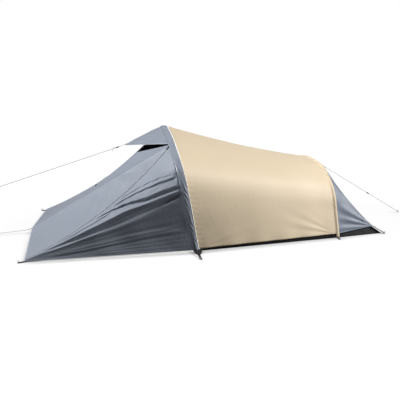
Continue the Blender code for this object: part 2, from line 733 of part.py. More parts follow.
def make_canopy(group):
    """The inner canopy: under the body from front to rear arch, then down to the rim at the foot end."""
    w = np.linspace(-1, 1, 25)
    front = canopy_front(w)
    u = -w * REAR.u_at_height(FLOOR_WALL)
    rear = REAR.at(u, 0.0, -INNER_DROP)
    foot = rim_near(1.0) + RIM_LIFT * UP
    pull = (np.abs(w) ** 6)[:, None]
    rear = rear + pull * np.where(w[:, None] < 0, foot - rear[0], (foot - rear[0]) * MIRROR)
    out = REAR.outward(u)
    rows = []
    for s in np.linspace(0, 1, 7):
        sag = ROOF_SAG * 4 * s * (1 - s) * (1 - np.abs(w) ** 4)
        rows.append(lerp(front, rear, s) - sag[:, None] * out)
    hem = hem_columns(rim_near(1.0), rim_near(2.0), w) + RIM_LIFT * UP
    for p in np.linspace(0, 1, 7)[1:]:
        sag = TAIL_SAG * 4 * p * (1 - p) * (1 - np.abs(w) ** 3)
        rows.append(lerp(rear, hem, p) - sag[:, None] * out)
    return cloth("inner_canopy", np.array(rows), "inner_cloth", group)


def door_arc(offset, rise, count=33):
    """The door's arc, its radius changed by offset, cut off at a height in the wall's plane."""
    radius = DOOR_RADIUS + offset
    low = math.asin((rise - DOOR_CENTRE_HEIGHT) / radius)
    return arc_points(radius, low, math.pi - low, count) + (0, DOOR_CENTRE_HEIGHT)


def make_inner_front(group):
    """The inner front wall with its round door, both cut flat, and the zip between them."""
    w = np.linspace(-1, 1, 49)
    edge = canopy_front(w) - WALL_ORIGIN
    outline = np.stack([edge[:, 1], edge @ FRONT.rise], -1)
    hole = door_arc(ZIP_HALF_WIDTH + GAP, SILL_RISE)
    origin = WALL_ORIGIN + (INNER_FRONT - SEWN_GAP - 0.0002) * FRONT.axial
    wall = flat_piece("inner_front_wall", [outline, hole], CLOTH, "inner_cloth", group)
    wall.matrix_world = frame_at(origin, FRONT.axial, (0, 1, 0))
    hinge_rise = SILL_RISE + 0.5 * CLOTH + GAP
    panel = door_arc(-ZIP_HALF_WIDTH - GAP, hinge_rise) - (0, hinge_rise)
    door = flat_piece("inner_door", [panel], CLOTH, "inner_cloth", group)
    door.matrix_world = frame_at(origin + hinge_rise * FRONT.rise, FRONT.axial, (0, 1, 0))
    chain = np.vstack([door_arc(ZIP_HALF_WIDTH, hinge_rise), door_arc(-ZIP_HALF_WIDTH, hinge_rise)[::-1]])
    strip = flat_piece("inner_door_zip", [chain], ZIP_THICKNESS, "black_plastic", group)
    strip.matrix_world = frame_at(origin, FRONT.axial, (0, 1, 0))
    slider = block("inner_door_zip_slider", (2 * ZIP_HALF_WIDTH, SLIDER_LENGTH, SLIDER_HEIGHT), "black_plastic",
                   group, 0.0015)
    angle = math.asin((SILL_RISE - DOOR_CENTRE_HEIGHT) / DOOR_RADIUS) + 0.06
    spoke = math.cos(angle) * np.array([0.0, 1.0, 0.0]) + math.sin(angle) * FRONT.rise
    centre = origin + DOOR_CENTRE_HEIGHT * FRONT.rise
    lift = 0.5 * (ZIP_THICKNESS + SLIDER_HEIGHT) + GAP
    slider.matrix_world = frame_at(centre + DOOR_RADIUS * spoke - lift * FRONT.axial, FRONT.axial, spoke)
    on_pivot((slider,), "inner_door_zip_pivot", centre, FRONT.axial, spoke, group)
    on_pivot((door,), "inner_door_pivot", door.location, (0, -1, 0), UP, group)


def make_hangers(group):
    """Four short cords that hold the inner canopy up to the sleeves."""
    sleeve_side = POLE_RADIUS + SLEEVE_POLE_GAP + CLOTH + GAP
    for arch, title, setback, lean in ((FRONT, "front", INNER_FRONT + 0.03, 0.9), (REAR, "rear", 0.0, 0.0)):
        for side, way in (("near", 1), ("far", -1)):
            u = way * HANGER_COLUMN * arch.u_at_height(FLOOR_WALL)
            top = arch.on_stations(u) - (sleeve_side + lean * CORD_RADIUS) * arch.outward(u)
            low = arch.at(u, setback, -INNER_DROP + 0.5 * CLOTH + 2 * GAP + lean * (CORD_RADIUS - 0.0035))
            cord("hanger_%s_%s" % (title, side), [top, lerp(top, low, 0.5), low], CORD_RADIUS, "pale_cord", group)


def make_zip(group):
    """The vestibule zip: its closed chain, a flat strip along the ridge, and the slider with its pull cord."""
    p = RIDGE_SHARES[:-1]
    h = 0.5 * ZIP_THICKNESS
    corners = ((-ZIP_HALF_WIDTH, -h), (ZIP_HALF_WIDTH, -h), (ZIP_HALF_WIDTH, h), (-ZIP_HALF_WIDTH, h))
    solid("vestibule_zip", np.stack([RIDGE.at(p, a, b) for a, b in corners], 1), "grey_zip", group)
    slider = block("vestibule_zip_slider", (2 * ZIP_HALF_WIDTH, SLIDER_HEIGHT, SLIDER_LENGTH), "black_plastic",
                   group, 0.0015)
    rest = SLIDER_REST_SHARE
    lift = h + GAP + 0.0005 + 0.5 * SLIDER_HEIGHT
    place = RIDGE.at(rest, 0.0, lift)
    slider.matrix_world = frame_at(place, RIDGE.tangent(rest), RIDGE.across(rest))
    pull = [place + (0.5 * SLIDER_HEIGHT + GAP + PULL_CORD_RADIUS) * RIDGE.over(rest) - 0.004 * RIDGE.tangent(rest)]
    t = np.linspace(0, 1, 16)[1:, None]
    down = unit(-RIDGE.across(rest) - 0.15 * RIDGE.tangent(rest))
    hang = pull[0] + PULL_CORD_LENGTH * t * down + PULL_CORD_BOW * np.sin(0.5 * math.pi * t) * RIDGE.over(rest)
    tail = cord("vestibule_zip_pull_cord", pull + list(hang), PULL_CORD_RADIUS, "pale_cord", group)
    on_pivot((slider, tail), "vestibule_zip_pivot", RIDGE.centre, RIDGE.axis, RIDGE.down, group)


def runner(name, place, way, group):
    """A cord runner: a turned barrel with a bore that the cord passes through."""
    half = 0.5 * RUNNER_LENGTH
    profile = [(RUNNER_BORE, -half), (0.75 * RUNNER_RADIUS, -half), (RUNNER_RADIUS, -0.7 * half),
               (0.72 * RUNNER_RADIUS, 0.0), (RUNNER_RADIUS, 0.7 * half), (0.75 * RUNNER_RADIUS, half),
               (RUNNER_BORE, half)]
    made = turned(name, profile, "black_plastic", group)
    made.matrix_world = frame_at(place, way, UP)
    return made


def straight(start, end, steps=CORD_STEPS):
    return [lerp(np.asarray(start, float), np.asarray(end, float), t) for t in np.linspace(0, 1, steps + 1)]


def make_guylines(group):
    """The front cord from the hood, the rear cord from the rear arch and the nose cord, with their runners."""
    way = unit((-1.0, 0.0, -FRONT_CORD_FALL))
    loop_end = HOOD_TIP + HOOD_LOOP_REACH * way
    crest = unit(FRONT.far_edge(0.0) - HOOD_TIP)
    lap = HOOD_TIP + HOOD_LOOP_LAP * crest + (0.5 * (CLOTH + WEBBING) + 2 * GAP) * np.cross(crest, (0, 1, 0))
    strap("hood_tip_loop", lap, loop_end, group, eye=False)
    start = loop_end + (0.5 * STRAP_WIDTH + GAP) * way
    end = start + FRONT_CORD_LENGTH * way
    ring = [end + KNOT_RADIUS * ((1 - math.cos(a)) * way + math.sin(a) * np.cross(way, (0, 1, 0)))
            for a in np.linspace(0, 1.55 * math.pi, 9)]
    cord("guyline_front", straight(start, end) + ring[1:], CORD_RADIUS, "guy_cord", group)
    runner("guyline_front_runner", start + FRONT_RUNNER_SET * way, way, group)
    top = REAR.far_edge(0.0)
    stake = np.array([X_REAR + REAR_CORD_REACH, 0.0, PEG_HEIGHT - 2 * PEG_HOOK])
    start = top + np.array([REAR_CORD_START[0], 0.0, REAR_CORD_START[1]])
    slope = unit(0.5 * (TAIL_CORNER + TAIL_CORNER * MIRROR) - top)
    lap = top + REAR_LOOP_LAP * slope + (0.5 * (CLOTH + WEBBING) + 2 * GAP) * np.cross(slope, (0, 1, 0))
    down = unit(start - lap)
    strap("rear_guy_loop", lap, start - (0.5 * STRAP_WIDTH + GAP + 0.25 * CORD_RADIUS) * down, group, eye=False)
    way = unit(stake - start)
    end = cord_end(stake, way)
    cord("guyline_rear", straight(start, end), CORD_RADIUS, "guy_cord", group)
    runner("guyline_rear_runner", lerp(start, end, REAR_RUNNER_SHARE), unit(end - start), group)
    peg("peg_rear_guyline", (stake[0], 0.0), (1, 0), group)
    nose_tip = NOSE - np.array([NOSE_LOOP_REACH, 0.0, 0.0])
    crest = unit(seam(0.05) - seam(0.02))
    lap = seam(POINT_SHARE) - 2 * GAP * crest
    strap("nose_loop", lap, nose_tip, group, eye=False)
    stake = np.array([NOSE[0] - NOSE_CORD_REACH, 0.0, PEG_HEIGHT - 2 * PEG_HOOK])
    start = nose_tip + (0.5 * STRAP_WIDTH + GAP + 0.5 * CORD_RADIUS) * unit(nose_tip - lap)
    way = unit(stake - start)
    cord("nose_cord", straight(start, cord_end(stake, way)), CORD_RADIUS, "pale_cord", group)
    peg("peg_nose", (stake[0], 0.0), (-1, 0), group)


def make_ground_points(group):
    """The straps and pegs at the vestibule corners, the arch feet and the tail, on both sides."""
    for side, flip in (("near", np.ones(3)), ("far", MIRROR)):
        way = unit(CORNER_PULL) * flip
        start = CORNER * flip - CORNER_LAP * way - (0.5 * WEBBING + 2 * GAP) * UP
        end = CORNER * flip + CORNER_PEG_REACH * way
        end[2] = STRAP_LIFT
        strap("corner_loop_" + side, start, end, group)
        peg_in_eye("peg_corner_" + side, start, end, group)
        foot = np.array([FRONT.base_x, -FRONT_HALF_WIDTH + FRONT_FOOT_LAP, 0.5 * WEBBING]) * flip
        end = np.array([FRONT.base_x, -FRONT_HALF_WIDTH - FRONT_FOOT_PEG_REACH, STRAP_LIFT]) * flip
        strap("front_foot_strap_" + side, foot, end, group)
        peg_in_eye("peg_front_foot_" + side, foot, end, group)
        way = unit(end - foot)
        top = unit(UP - (UP @ way) * way)
        buckle_at = lerp(foot, end, BUCKLE_SHARE) + (0.5 * (WEBBING + BUCKLE_THICKNESS) + GAP) * top
        frame = rectangle(BUCKLE_HALF_WIDTH, -BUCKLE_HALF_LENGTH, BUCKLE_HALF_LENGTH)
        slots = [rectangle(BUCKLE_SLOT_HALF_WIDTH, BUCKLE_SLOT_START, BUCKLE_SLOT_END),
                 rectangle(BUCKLE_SLOT_HALF_WIDTH, -BUCKLE_SLOT_END, -BUCKLE_SLOT_START)]
        buckle = flat_piece("front_foot_buckle_" + side, [frame, *slots], BUCKLE_THICKNESS, "black_plastic", group)
        buckle.matrix_world = frame_at(buckle_at, top, np.cross(way, top))
        foot = np.array([REAR.base_x, -REAR_HALF_WIDTH + REAR_FOOT_LAP, 0.5 * WEBBING]) * flip
        end = np.array([REAR.base_x, -REAR_HALF_WIDTH - REAR_FOOT_REACH, 0.5 * WEBBING]) * flip
        strap("rear_foot_tab_" + side, foot, end, group, eye=False)
        end = np.array([*(TAIL_CORNER[:2] + TAIL_PEG_REACH), TAIL_PEG_LIFT])
        start = (TAIL_CORNER + 2 * GAP * unit(end - TAIL_CORNER)) * flip
        end = end * flip
        strap("tail_strap_" + side, start, end, group)
        peg_in_eye("peg_tail_" + side, start, end, group)


def make_toggle(group):
    """The toggle on the centre seam that ties the rolled door back."""
    half = 0.5 * TOGGLE_LENGTH
    way = unit(seam(TOGGLE_SHARE + 0.01) - seam(TOGGLE_SHARE - 0.01))
    top = unit(UP - (UP @ way) * way)
    profile = [(0.0, -half), (0.6 * TOGGLE_RADIUS, -half), (TOGGLE_RADIUS, -0.6 * half), (TOGGLE_RADIUS, 0.6 * half),
               (0.6 * TOGGLE_RADIUS, half), (0.0, half)]
    made = turned("door_toggle", profile, "black_plastic", group)
    made.matrix_world = frame_at(seam(TOGGLE_SHARE) + (TOGGLE_RADIUS + 0.5 * CLOTH + GAP) * top, way, top)
    return made


def main():
    clear_scene()
    tent = collection("tunnel_tent")
    make_poles(tent)
    make_sleeve("front_pole_sleeve", FRONT, "grey_cloth", tent)
    make_sleeve("rear_pole_sleeve", REAR, "sand_cloth", tent)
    make_body(tent)
    make_vestibule(tent)
    make_zip(tent)
    make_hood(tent)
    make_tail(tent)
    make_floor(tent)
    make_canopy(tent)
    make_inner_front(tent)
    make_hangers(tent)
    make_guylines(tent)
    make_toggle(tent)
    make_ground_points(tent)


main()
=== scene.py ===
"""Ultralight tunnel tent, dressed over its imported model, in metres, +Z up.

Each cloth panel is a numpy surface on the same curves as its solid, with the folds, puckers and stitching of
the real cloth added along its normal. Cords, webbing, zips and piping are profiles carried along paths.
"""
import json
import math

import bmesh
import bpy
import numpy as np
from mathutils import Matrix, Vector


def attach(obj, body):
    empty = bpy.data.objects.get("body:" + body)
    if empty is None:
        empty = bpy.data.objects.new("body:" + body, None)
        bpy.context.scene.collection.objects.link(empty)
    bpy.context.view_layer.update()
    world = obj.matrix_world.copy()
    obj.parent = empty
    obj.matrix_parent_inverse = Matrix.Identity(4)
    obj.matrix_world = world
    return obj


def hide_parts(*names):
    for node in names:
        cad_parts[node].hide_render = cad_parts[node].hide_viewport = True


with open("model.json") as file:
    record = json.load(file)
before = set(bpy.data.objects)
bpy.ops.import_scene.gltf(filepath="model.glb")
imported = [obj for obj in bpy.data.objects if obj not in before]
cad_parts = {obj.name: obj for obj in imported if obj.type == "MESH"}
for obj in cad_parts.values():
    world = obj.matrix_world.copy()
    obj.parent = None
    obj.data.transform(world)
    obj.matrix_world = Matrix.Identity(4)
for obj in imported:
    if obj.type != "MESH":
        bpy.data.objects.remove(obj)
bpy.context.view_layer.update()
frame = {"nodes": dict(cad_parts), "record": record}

# Sizes shared with the solids
GAP = 0.0003
CLOTH = 0.0012
SEWN_GAP = GAP + 0.5 * CLOTH
X_ARCH = -0.98
ARCH_SPACING = 1.415
X_REAR = X_ARCH + ARCH_SPACING
FRONT_HALF_WIDTH = 0.79
FRONT_HEIGHT = 1.055
FRONT_LEAN = 0.191
REAR_HALF_WIDTH = 0.69
REAR_HEIGHT = 0.676
REAR_LEAN = 0.050
POLE_RADIUS = 0.00425
SLEEVE_BODY_REACH = 0.014
FRONT_SLEEVE_REACH = 0.046
REAR_SLEEVE_REACH = 0.013
SLEEVE_FOOT_REACH = 0.012
SLEEVE_TAPER_LENGTH = 0.50
SLEEVE_FOOT_LIFT = 0.012
FOOT_CLEARANCE = 0.0035
BODY_HEM_HEIGHT = 0.026
REAR_HEM_HEIGHT = 0.048
SIDE_HEM_HEIGHT = 0.020
BODY_SAG = 0.030
TAIL_SAG = 0.016
SIDE_SAG = 0.035
RIDGE_SAG = 0.100
SEAM_SAG = 0.040
RIDGE_START_SHARE = 0.015
RIDGE_TOP_HALF_WIDTH = 0.53
LIP_HALF_WIDTH = 0.505
HOOD_HALF_WIDTH = 0.485
HOOD_START_SHARE = 0.05
POINT_SHARE = 0.02
ZIP_END_SHARE = 0.01
ZIP_HALF_WIDTH = 0.005
ZIP_THICKNESS = 0.0024
SLIDER_HEIGHT = 0.007
SLIDER_REST_SHARE = 0.979
RIDGE_EDGE = ZIP_HALF_WIDTH + SEWN_GAP
INNER_DROP = 0.055
CORD_RADIUS = 0.00175
PULL_CORD_RADIUS = 0.0009
WEB = 0.0015
STRAP_WIDTH = 0.020
STRAP_EYE = 0.0034
STRAP_LIFT = 0.004
PEG_WIRE = 0.0020
PEG_HEIGHT = 0.022
PEG_HOOK = 0.0055
FLOOR_LENGTH = 1.90
FLOOR_HALF_WIDTHS = (0.772, 0.668, 0.620)
FLOOR_WALL = 0.10
DOOR_RADIUS = 0.46
DOOR_CENTRE_HEIGHT = 0.26
DOOR_SILL = 0.13
CORNER = np.array([X_ARCH - 1.585, -0.775, 0.008])
NOSE = np.array([X_ARCH - 1.629, 0.0, 0.037])
VENT_PEAK = np.array([X_ARCH - 0.508, 0.0, 0.804])
HOOD_TIP = np.array([X_ARCH - 0.641, 0.0, 0.880])
TAIL_CORNER = np.array([X_REAR + 0.440, -0.575, 0.066])
FRONT_OUTLINE = ((1.0, 0.0), (1.03, 0.20), (1.072, 0.44), (1.062, 0.66),
                 (0.93, 0.80), (0.60, 0.925), (0.25, 0.985), (0.0, 1.0))
REAR_OUTLINE = ((1.0, 0.0), (0.955, 0.20), (0.903, 0.405), (0.85, 0.61),
                (0.72, 0.79), (0.487, 0.94), (0.25, 0.992), (0.0, 1.003))

# Sizes of the dressing alone
THIN = 0.0008
TAUT_SAG = 0.0004
THIN_CORD_RADIUS = 0.0012
KNOT_DEPTH = 1.2
PULL_KNOT_SIZE = 0.0016
TAIL_KNOT_SIZE = 0.0020
GUY_KNOT_SIZE = 0.0032
PULL_CORD_DROP = 0.042
PULL_CORD_BELLY = 0.019
HEM_CORD_RADIUS = 0.0015
TAPE_OFFSET = 0.0010
TAPE_DROP = 0.0013
CANOPY_SLACK = 0.004
CANOPY_SWELL_SIZE = 0.35
INNER_WALL_SWELL = 0.0030
INNER_WALL_SWELL_SIZE = 0.22
INNER_DOOR_SWELL = 0.0035
INNER_DOOR_SWELL_SIZE = 0.30
INNER_DOOR_CREASE = 0.0014
FAR_FROM_EDGE = 0.05

# Directions and the two sides of the tent
X_WAY = np.array([1.0, 0.0, 0.0])
Y_WAY = np.array([0.0, 1.0, 0.0])
UP = np.array([0.0, 0.0, 1.0])
MIRROR = np.array([1.0, -1.0, 1.0])
SIDES = (("near", np.ones(3)), ("far", MIRROR))


def unit(v):
    v = np.asarray(v, float)
    return v / np.linalg.norm(v, axis=-1, keepdims=True)


def lerp(a, b, t):
    return a + (b - a) * t


def bow(t):
    """A parabola: 0 at both ends and 1 in the middle."""
    return 4 * t * (1 - t)


class Arch:
    """A bent pole in a leaning plane: a Catmull-Rom curve through its outline, read by length, u = -1 to 1.

    The run from b to c, between a and d, is half of
    2 b + (c - a) t + (2 a - 5 b + 4 c - d) t^2 + (3 b - a - 3 c + d) t^3.
    """

    def __init__(self, seam_x, body_side, half_width, height, lean, outline, reach):
        self.height, self.lean, self.reach, self.body_side = height, lean, reach, body_side
        self.base_x = seam_x - body_side * SLEEVE_BODY_REACH * math.hypot(1.0, lean / height)
        half = np.array([(half_width * w, height * h) for w, h in outline])
        points = np.vstack([half * (-1, 1), half[::-1][1:]])
        ends = np.vstack([2 * points[0] - points[1], points, 2 * points[-1] - points[-2]])
        t = np.linspace(0, 1, 50, endpoint=False)[:, None]
        runs = [0.5 * (2 * b + (c - a) * t + (2 * a - 5 * b + 4 * c - d) * t ** 2
                       + (3 * b - a - 3 * c + d) * t ** 3)
                for a, b, c, d in zip(ends[:-3], ends[1:-2], ends[2:-1], ends[3:])]
        self.curve = np.vstack(runs + [points[-1:]])
        steps = np.linalg.norm(np.diff(self.curve, axis=0), axis=1)
        self.length = steps.sum()
        self.u = np.concatenate([[0], np.cumsum(steps)]) / self.length * 2 - 1
        self.axial = unit((height, 0.0, lean))
        self.rise = unit((-lean, 0.0, height))

    def at(self, u, axial=0.0, radial=0.0):
        """The point at u, moved along the plane's normal by axial and outwards in the plane by radial."""
        u = np.asarray(u, float)
        y, z = np.interp(u, self.u, self.curve[:, 0]), np.interp(u, self.u, self.curve[:, 1])
        p = np.stack([self.base_x - self.lean * z / self.height, y, z], -1)
        return (p + np.asarray(axial, float)[..., None] * self.axial
                + np.asarray(radial, float)[..., None] * self.outward(u))

    def outward(self, u):
        """The direction in the plane, square to the pole, that leads out of the tent."""
        step = 0.01
        ahead, behind = ([np.interp(v, self.u, line) for line in self.curve.T] for v in (u + step, u - step))
        y, z = np.subtract(ahead, behind)
        return unit(np.cross(self.axial, unit(np.stack([-self.lean * z / self.height, y, z], -1))))

    def u_at_height(self, z):
        """Where the near half of the pole stands this high."""
        near = self.curve[:, 0] < 0
        return float(np.interp(z, self.curve[near, 1], self.u[near]))

    def u_at_half_width(self, y):
        """Where the near half's upper part is this wide."""
        top = (self.curve[:, 1] > 0.7 * self.height) & (self.curve[:, 0] <= 0)
        return float(np.interp(-y, self.curve[top, 0], self.u[top]))

    def metres(self, u):
        """The length along the pole of a share u of its half."""
        return u * 0.5 * self.length

    def sleeve_reach(self, u):
        """How wide the sleeve is on the side away from the body, narrower towards its feet."""
        rise = np.clip(self.metres(1 - np.abs(u)) / SLEEVE_TAPER_LENGTH, 0, 1)
        return self.reach - (self.reach - SLEEVE_FOOT_REACH) * (1 - rise) ** 2

    def body_edge(self, u):
        return self.at(u, self.body_side * (SLEEVE_BODY_REACH + SEWN_GAP))

    def far_edge(self, u):
        return self.at(u, -self.body_side * (self.sleeve_reach(u) + SEWN_GAP))

    def tape_line(self, u):
        """The line of the tape over the seam at the sleeve's far edge."""
        return self.at(u, -self.body_side * (self.sleeve_reach(u) + SEWN_GAP + TAPE_OFFSET), -TAPE_DROP)


FRONT = Arch(X_ARCH, 1, FRONT_HALF_WIDTH, FRONT_HEIGHT, FRONT_LEAN, FRONT_OUTLINE, FRONT_SLEEVE_REACH)
REAR = Arch(X_REAR, -1, REAR_HALF_WIDTH, REAR_HEIGHT, REAR_LEAN, REAR_OUTLINE, REAR_SLEEVE_REACH)
U_RIDGE = FRONT.u_at_half_width(RIDGE_TOP_HALF_WIDTH)
U_LIP = FRONT.u_at_half_width(LIP_HALF_WIDTH)
U_HOOD = FRONT.u_at_half_width(HOOD_HALF_WIDTH)


class Ridge:
    """The near ridge, which carries the zip: a circular arc from corner to arch that sags below its chord."""

    def __init__(self):
        self.start = lerp(CORNER, NOSE, RIDGE_START_SHARE)
        self.end = FRONT.far_edge(U_RIDGE)
        chord = self.end - self.start
        half = 0.5 * np.linalg.norm(chord)
        self.radius = (half ** 2 + RIDGE_SAG ** 2) / (2 * RIDGE_SAG)
        self.along = unit(chord)
        self.down = unit(-UP + (UP @ self.along) * self.along)
        self.axis = unit(np.cross(self.down, self.along))
        self.centre = 0.5 * (self.start + self.end) - self.down * (self.radius - RIDGE_SAG)
        self.sweep = math.asin(half / self.radius)
        middle = self.centre + self.radius * self.down
        towards = unit(lerp(NOSE, VENT_PEAK, 0.5) - middle) - unit(lerp(CORNER, FRONT.at(-1.0), 0.6) - middle)
        towards = unit(towards - (towards @ self.along) * self.along)
        self.mix = (towards @ self.down, towards @ self.axis)
        self.side = 1.0 if np.cross(self.along, towards)[2] > 0 else -1.0

    def radial(self, p):
        """The direction from the arc's centre to share p of the arc."""
        a = ((2 * np.asarray(p, float) - 1) * self.sweep)[..., None]
        return self.down * np.cos(a) + self.along * np.sin(a)

    def tangent(self, p):
        a = ((2 * np.asarray(p, float) - 1) * self.sweep)[..., None]
        return self.along * np.cos(a) - self.down * np.sin(a)

    def across(self, p):
        return self.mix[0] * self.radial(p) + self.mix[1] * self.axis

    def over(self, p):
        return self.side * np.cross(self.tangent(p), self.across(p))

    def at(self, p, across=0.0, over=0.0):
        """The point at share p of the arc, moved by across towards the front and by over outwards."""
        return (self.centre + self.radius * self.radial(p) + np.asarray(across)[..., None] * self.across(p)
                + np.asarray(over)[..., None] * self.over(p))


RIDGE = Ridge()
RIDGE_TOP = RIDGE.at(1.0, RIDGE_EDGE)


def seam(t):
    """The centre seam from the nose to the vent's peak: a chord less a parabola."""
    t = np.asarray(t, float)
    return lerp(NOSE, VENT_PEAK, t[..., None]) - (SEAM_SAG * bow(t))[..., None] * UP


def fold_line(t, side):
    """The line the door folds back about, from the nose to the zip's top, moved to one side by a sewn gap."""
    along = unit(RIDGE_TOP - NOSE)
    across = unit(Y_WAY - (Y_WAY @ along) * along)
    return lerp(NOSE, RIDGE_TOP, np.asarray(t, float)[..., None]) + side * SEWN_GAP * across


# Camera: at the photograph's viewing angle
CAMERA_PLACE = np.array([-1.697, -4.944, 1.724])
CAMERA_YAW = 0.173
CAMERA_PITCH = 0.283
SENSOR_WIDTH = 36.0
FOCAL_SHARE = 487.0 / 400.0


def linked(name, data):
    """A new object for this data, put in the scene."""
    made = bpy.data.objects.new(name, data)
    bpy.context.scene.collection.objects.link(made)
    return made


def make_camera():
    lens = bpy.data.cameras.new("photo_camera")
    lens.sensor_width = SENSOR_WIDTH
    lens.lens = SENSOR_WIDTH * FOCAL_SHARE
    lens.clip_end = 100.0
    made = linked("photo_camera", lens)
    level = math.cos(CAMERA_PITCH)
    ahead = np.array([math.sin(CAMERA_YAW) * level, math.cos(CAMERA_YAW) * level, -math.sin(CAMERA_PITCH)])
    right = np.array([math.cos(CAMERA_YAW), -math.sin(CAMERA_YAW), 0.0])
    top = np.cross(right, ahead)
    turn = Matrix([[right[k], top[k], -ahead[k]] for k in range(3)])
    made.matrix_world = Matrix.Translation(Vector(CAMERA_PLACE)) @ turn.to_4x4()
    bpy.context.scene.camera = made


# Sewing and weave, in metres from a panel's edge or along it
STITCH_ROWS = (0.0035, 0.0115)
THREAD_WIDTH = 0.0010
STITCH_PITCH = 0.0042
STITCH_GAP = 0.0012
HEM_WIDTH = 0.013
RIP_WIDTH = 0.0006
TACK_ROWS = (0.0045, 0.0190)
TACK_WIDTH = 0.0016
BOX_LENGTH = 0.020
BOX_INSET = 0.0028
COIL_HALF_WIDTH = 0.0019
COIL_HALF_TURN = 0.0007
TAPE_STITCH = 0.0033
TAPE_YARN_RATE = 9000.0


# Materials
def new_material(name, colour, roughness, metallic=0.0):
    made = bpy.data.materials.new(name)
    made.use_nodes = True
    shader = made.node_tree.nodes["Principled BSDF"]
    shader.inputs["Base Color"].default_value = (*colour, 1.0)
    shader.inputs["Roughness"].default_value = roughness
    shader.inputs["Metallic"].default_value = metallic
    return made, made.node_tree, shader


def node(tree, kind, inputs=(), **settings):
    made = tree.nodes.new("ShaderNode" + kind)
    for key, value in settings.items():
        setattr(made, key, value)
    for key, value in dict(inputs).items():
        if isinstance(value, bpy.types.NodeSocket):
            tree.links.new(value, made.inputs[key])
        else:
            made.inputs[key].default_value = value
    return made


def maths(tree, operation, *values):
    return node(tree, "Math", {i: v for i, v in enumerate(values)}, operation=operation).outputs[0]


def scaled(tree, value, gain, offset):
    return maths(tree, "MULTIPLY_ADD", value, gain, offset)


def mixed(tree, factor, a, b, blend="MIX"):
    made = node(tree, "Mix", {"Factor": factor}, data_type="RGBA", blend_type=blend)
    for socket, value in ((made.inputs[6], a), (made.inputs[7], b)):
        if isinstance(value, bpy.types.NodeSocket):
            tree.links.new(value, socket)
        else:
            socket.default_value = (*value, 1.0)
    return made.outputs[2]


def toned(tree, colour, tone):
    """The colour, darkened or lightened by a tone near 1."""
    grey = node(tree, "CombineXYZ", {0: tone, 1: tone, 2: tone}).outputs[0]
    return mixed(tree, 1.0, colour, grey, "MULTIPLY")


def stored(tree, key):
    """A value kept at the mesh's corners: edge, run or side, how far in from an edge, along or across."""
    return node(tree, "Attribute", attribute_name=key).outputs["Fac"]


def uv_of(tree):
    return node(tree, "UVMap", uv_map="cloth").outputs[0]


def uv_parts(tree):
    return node(tree, "SeparateXYZ", {0: uv_of(tree)}).outputs


def paint(tree, shader, colour=None, roughness=None):
    if colour is not None:
        tree.links.new(colour, shader.inputs["Base Color"])
    if roughness is not None:
        tree.links.new(roughness, shader.inputs["Roughness"])


def noise(tree, vector, scale, detail=3.0, stretch=(1, 1, 1), roughness=0.55):
    placed = node(tree, "Mapping", {"Vector": vector, "Scale": stretch})
    return node(tree, "TexNoise", {"Vector": placed.outputs[0], "Scale": scale, "Detail": detail,
                                   "Roughness": roughness}).outputs["Fac"]


def bump(tree, shader, layers):
    """Bumps laid on one another: each layer is a height with its strength and its depth in metres."""
    normal = None
    for height, strength, depth in layers:
        inputs = {"Height": height, "Strength": strength, "Distance": depth}
        if normal is not None:
            inputs["Normal"] = normal
        normal = node(tree, "Bump", inputs).outputs[0]
    tree.links.new(normal, shader.inputs["Normal"])


def lines(tree, value, pitch, width):
    """1 on lines of this width, one every pitch, and 0 between."""
    saw = maths(tree, "PINGPONG", value, 0.5 * pitch)
    return maths(tree, "LESS_THAN", saw, 0.5 * width)


def band(tree, value, centre, width):
    """1 on a band of this width about its centre, and 0 elsewhere."""
    away = maths(tree, "ABSOLUTE", maths(tree, "SUBTRACT", value, centre))
    return maths(tree, "LESS_THAN", away, 0.5 * width)


def coated_cloth(name, colour, stitch, roughness=0.5, sheen=0.25, crumple=0.3, hem_shade=1.0, weave=0.006):
    """Ripstop cloth: a fine square grid in the weave, soft crumples and two rows of stitches at each edge."""
    made, tree, shader = new_material(name, colour, roughness)
    shader.inputs["Sheen Weight"].default_value = sheen
    shader.inputs["Sheen Roughness"].default_value = 0.5
    uv = uv_of(tree)
    parts = node(tree, "SeparateXYZ", {0: uv}).outputs
    rip = maths(tree, "MAXIMUM", *(lines(tree, parts[k], weave, RIP_WIDTH) for k in (0, 1)))
    edge = stored(tree, "edge")
    rows = maths(tree, "MAXIMUM", *(band(tree, edge, row, THREAD_WIDTH) for row in STITCH_ROWS))
    gaps = lines(tree, stored(tree, "run"), STITCH_PITCH, STITCH_GAP)
    thread = maths(tree, "MULTIPLY", rows, maths(tree, "SUBTRACT", 1.0, gaps))
    hem = maths(tree, "LESS_THAN", edge, HEM_WIDTH)
    tone = scaled(tree, noise(tree, uv, 1.6, 2.0), 0.14, 0.93)
    small = noise(tree, uv, 420.0, 2.0)
    for value, gain, offset in ((small, 0.10, 0.95), (rip, -0.05, 1.0), (hem, hem_shade - 1.0, 1.0)):
        tone = maths(tree, "MULTIPLY", tone, scaled(tree, value, gain, offset))
    paint(tree, shader, mixed(tree, thread, toned(tree, colour, tone), stitch),
          scaled(tree, noise(tree, uv, 28.0, 3.0), 0.2, roughness - 0.1))
    soft = noise(tree, uv, 14.0, 4.0, (1.0, 2.2, 1.0), 0.6)
    fine = noise(tree, uv, 60.0, 3.0, (1.8, 1.0, 1.0), 0.6)
    yarn = noise(tree, uv, 900.0, 1.0)
    bump(tree, shader, [(soft, crumple, 0.010), (fine, crumple * 0.8, 0.003), (rip, 0.5, 0.0001),
                        (yarn, 0.3, 0.0001), (thread, 0.6, 0.0003)])
    return made


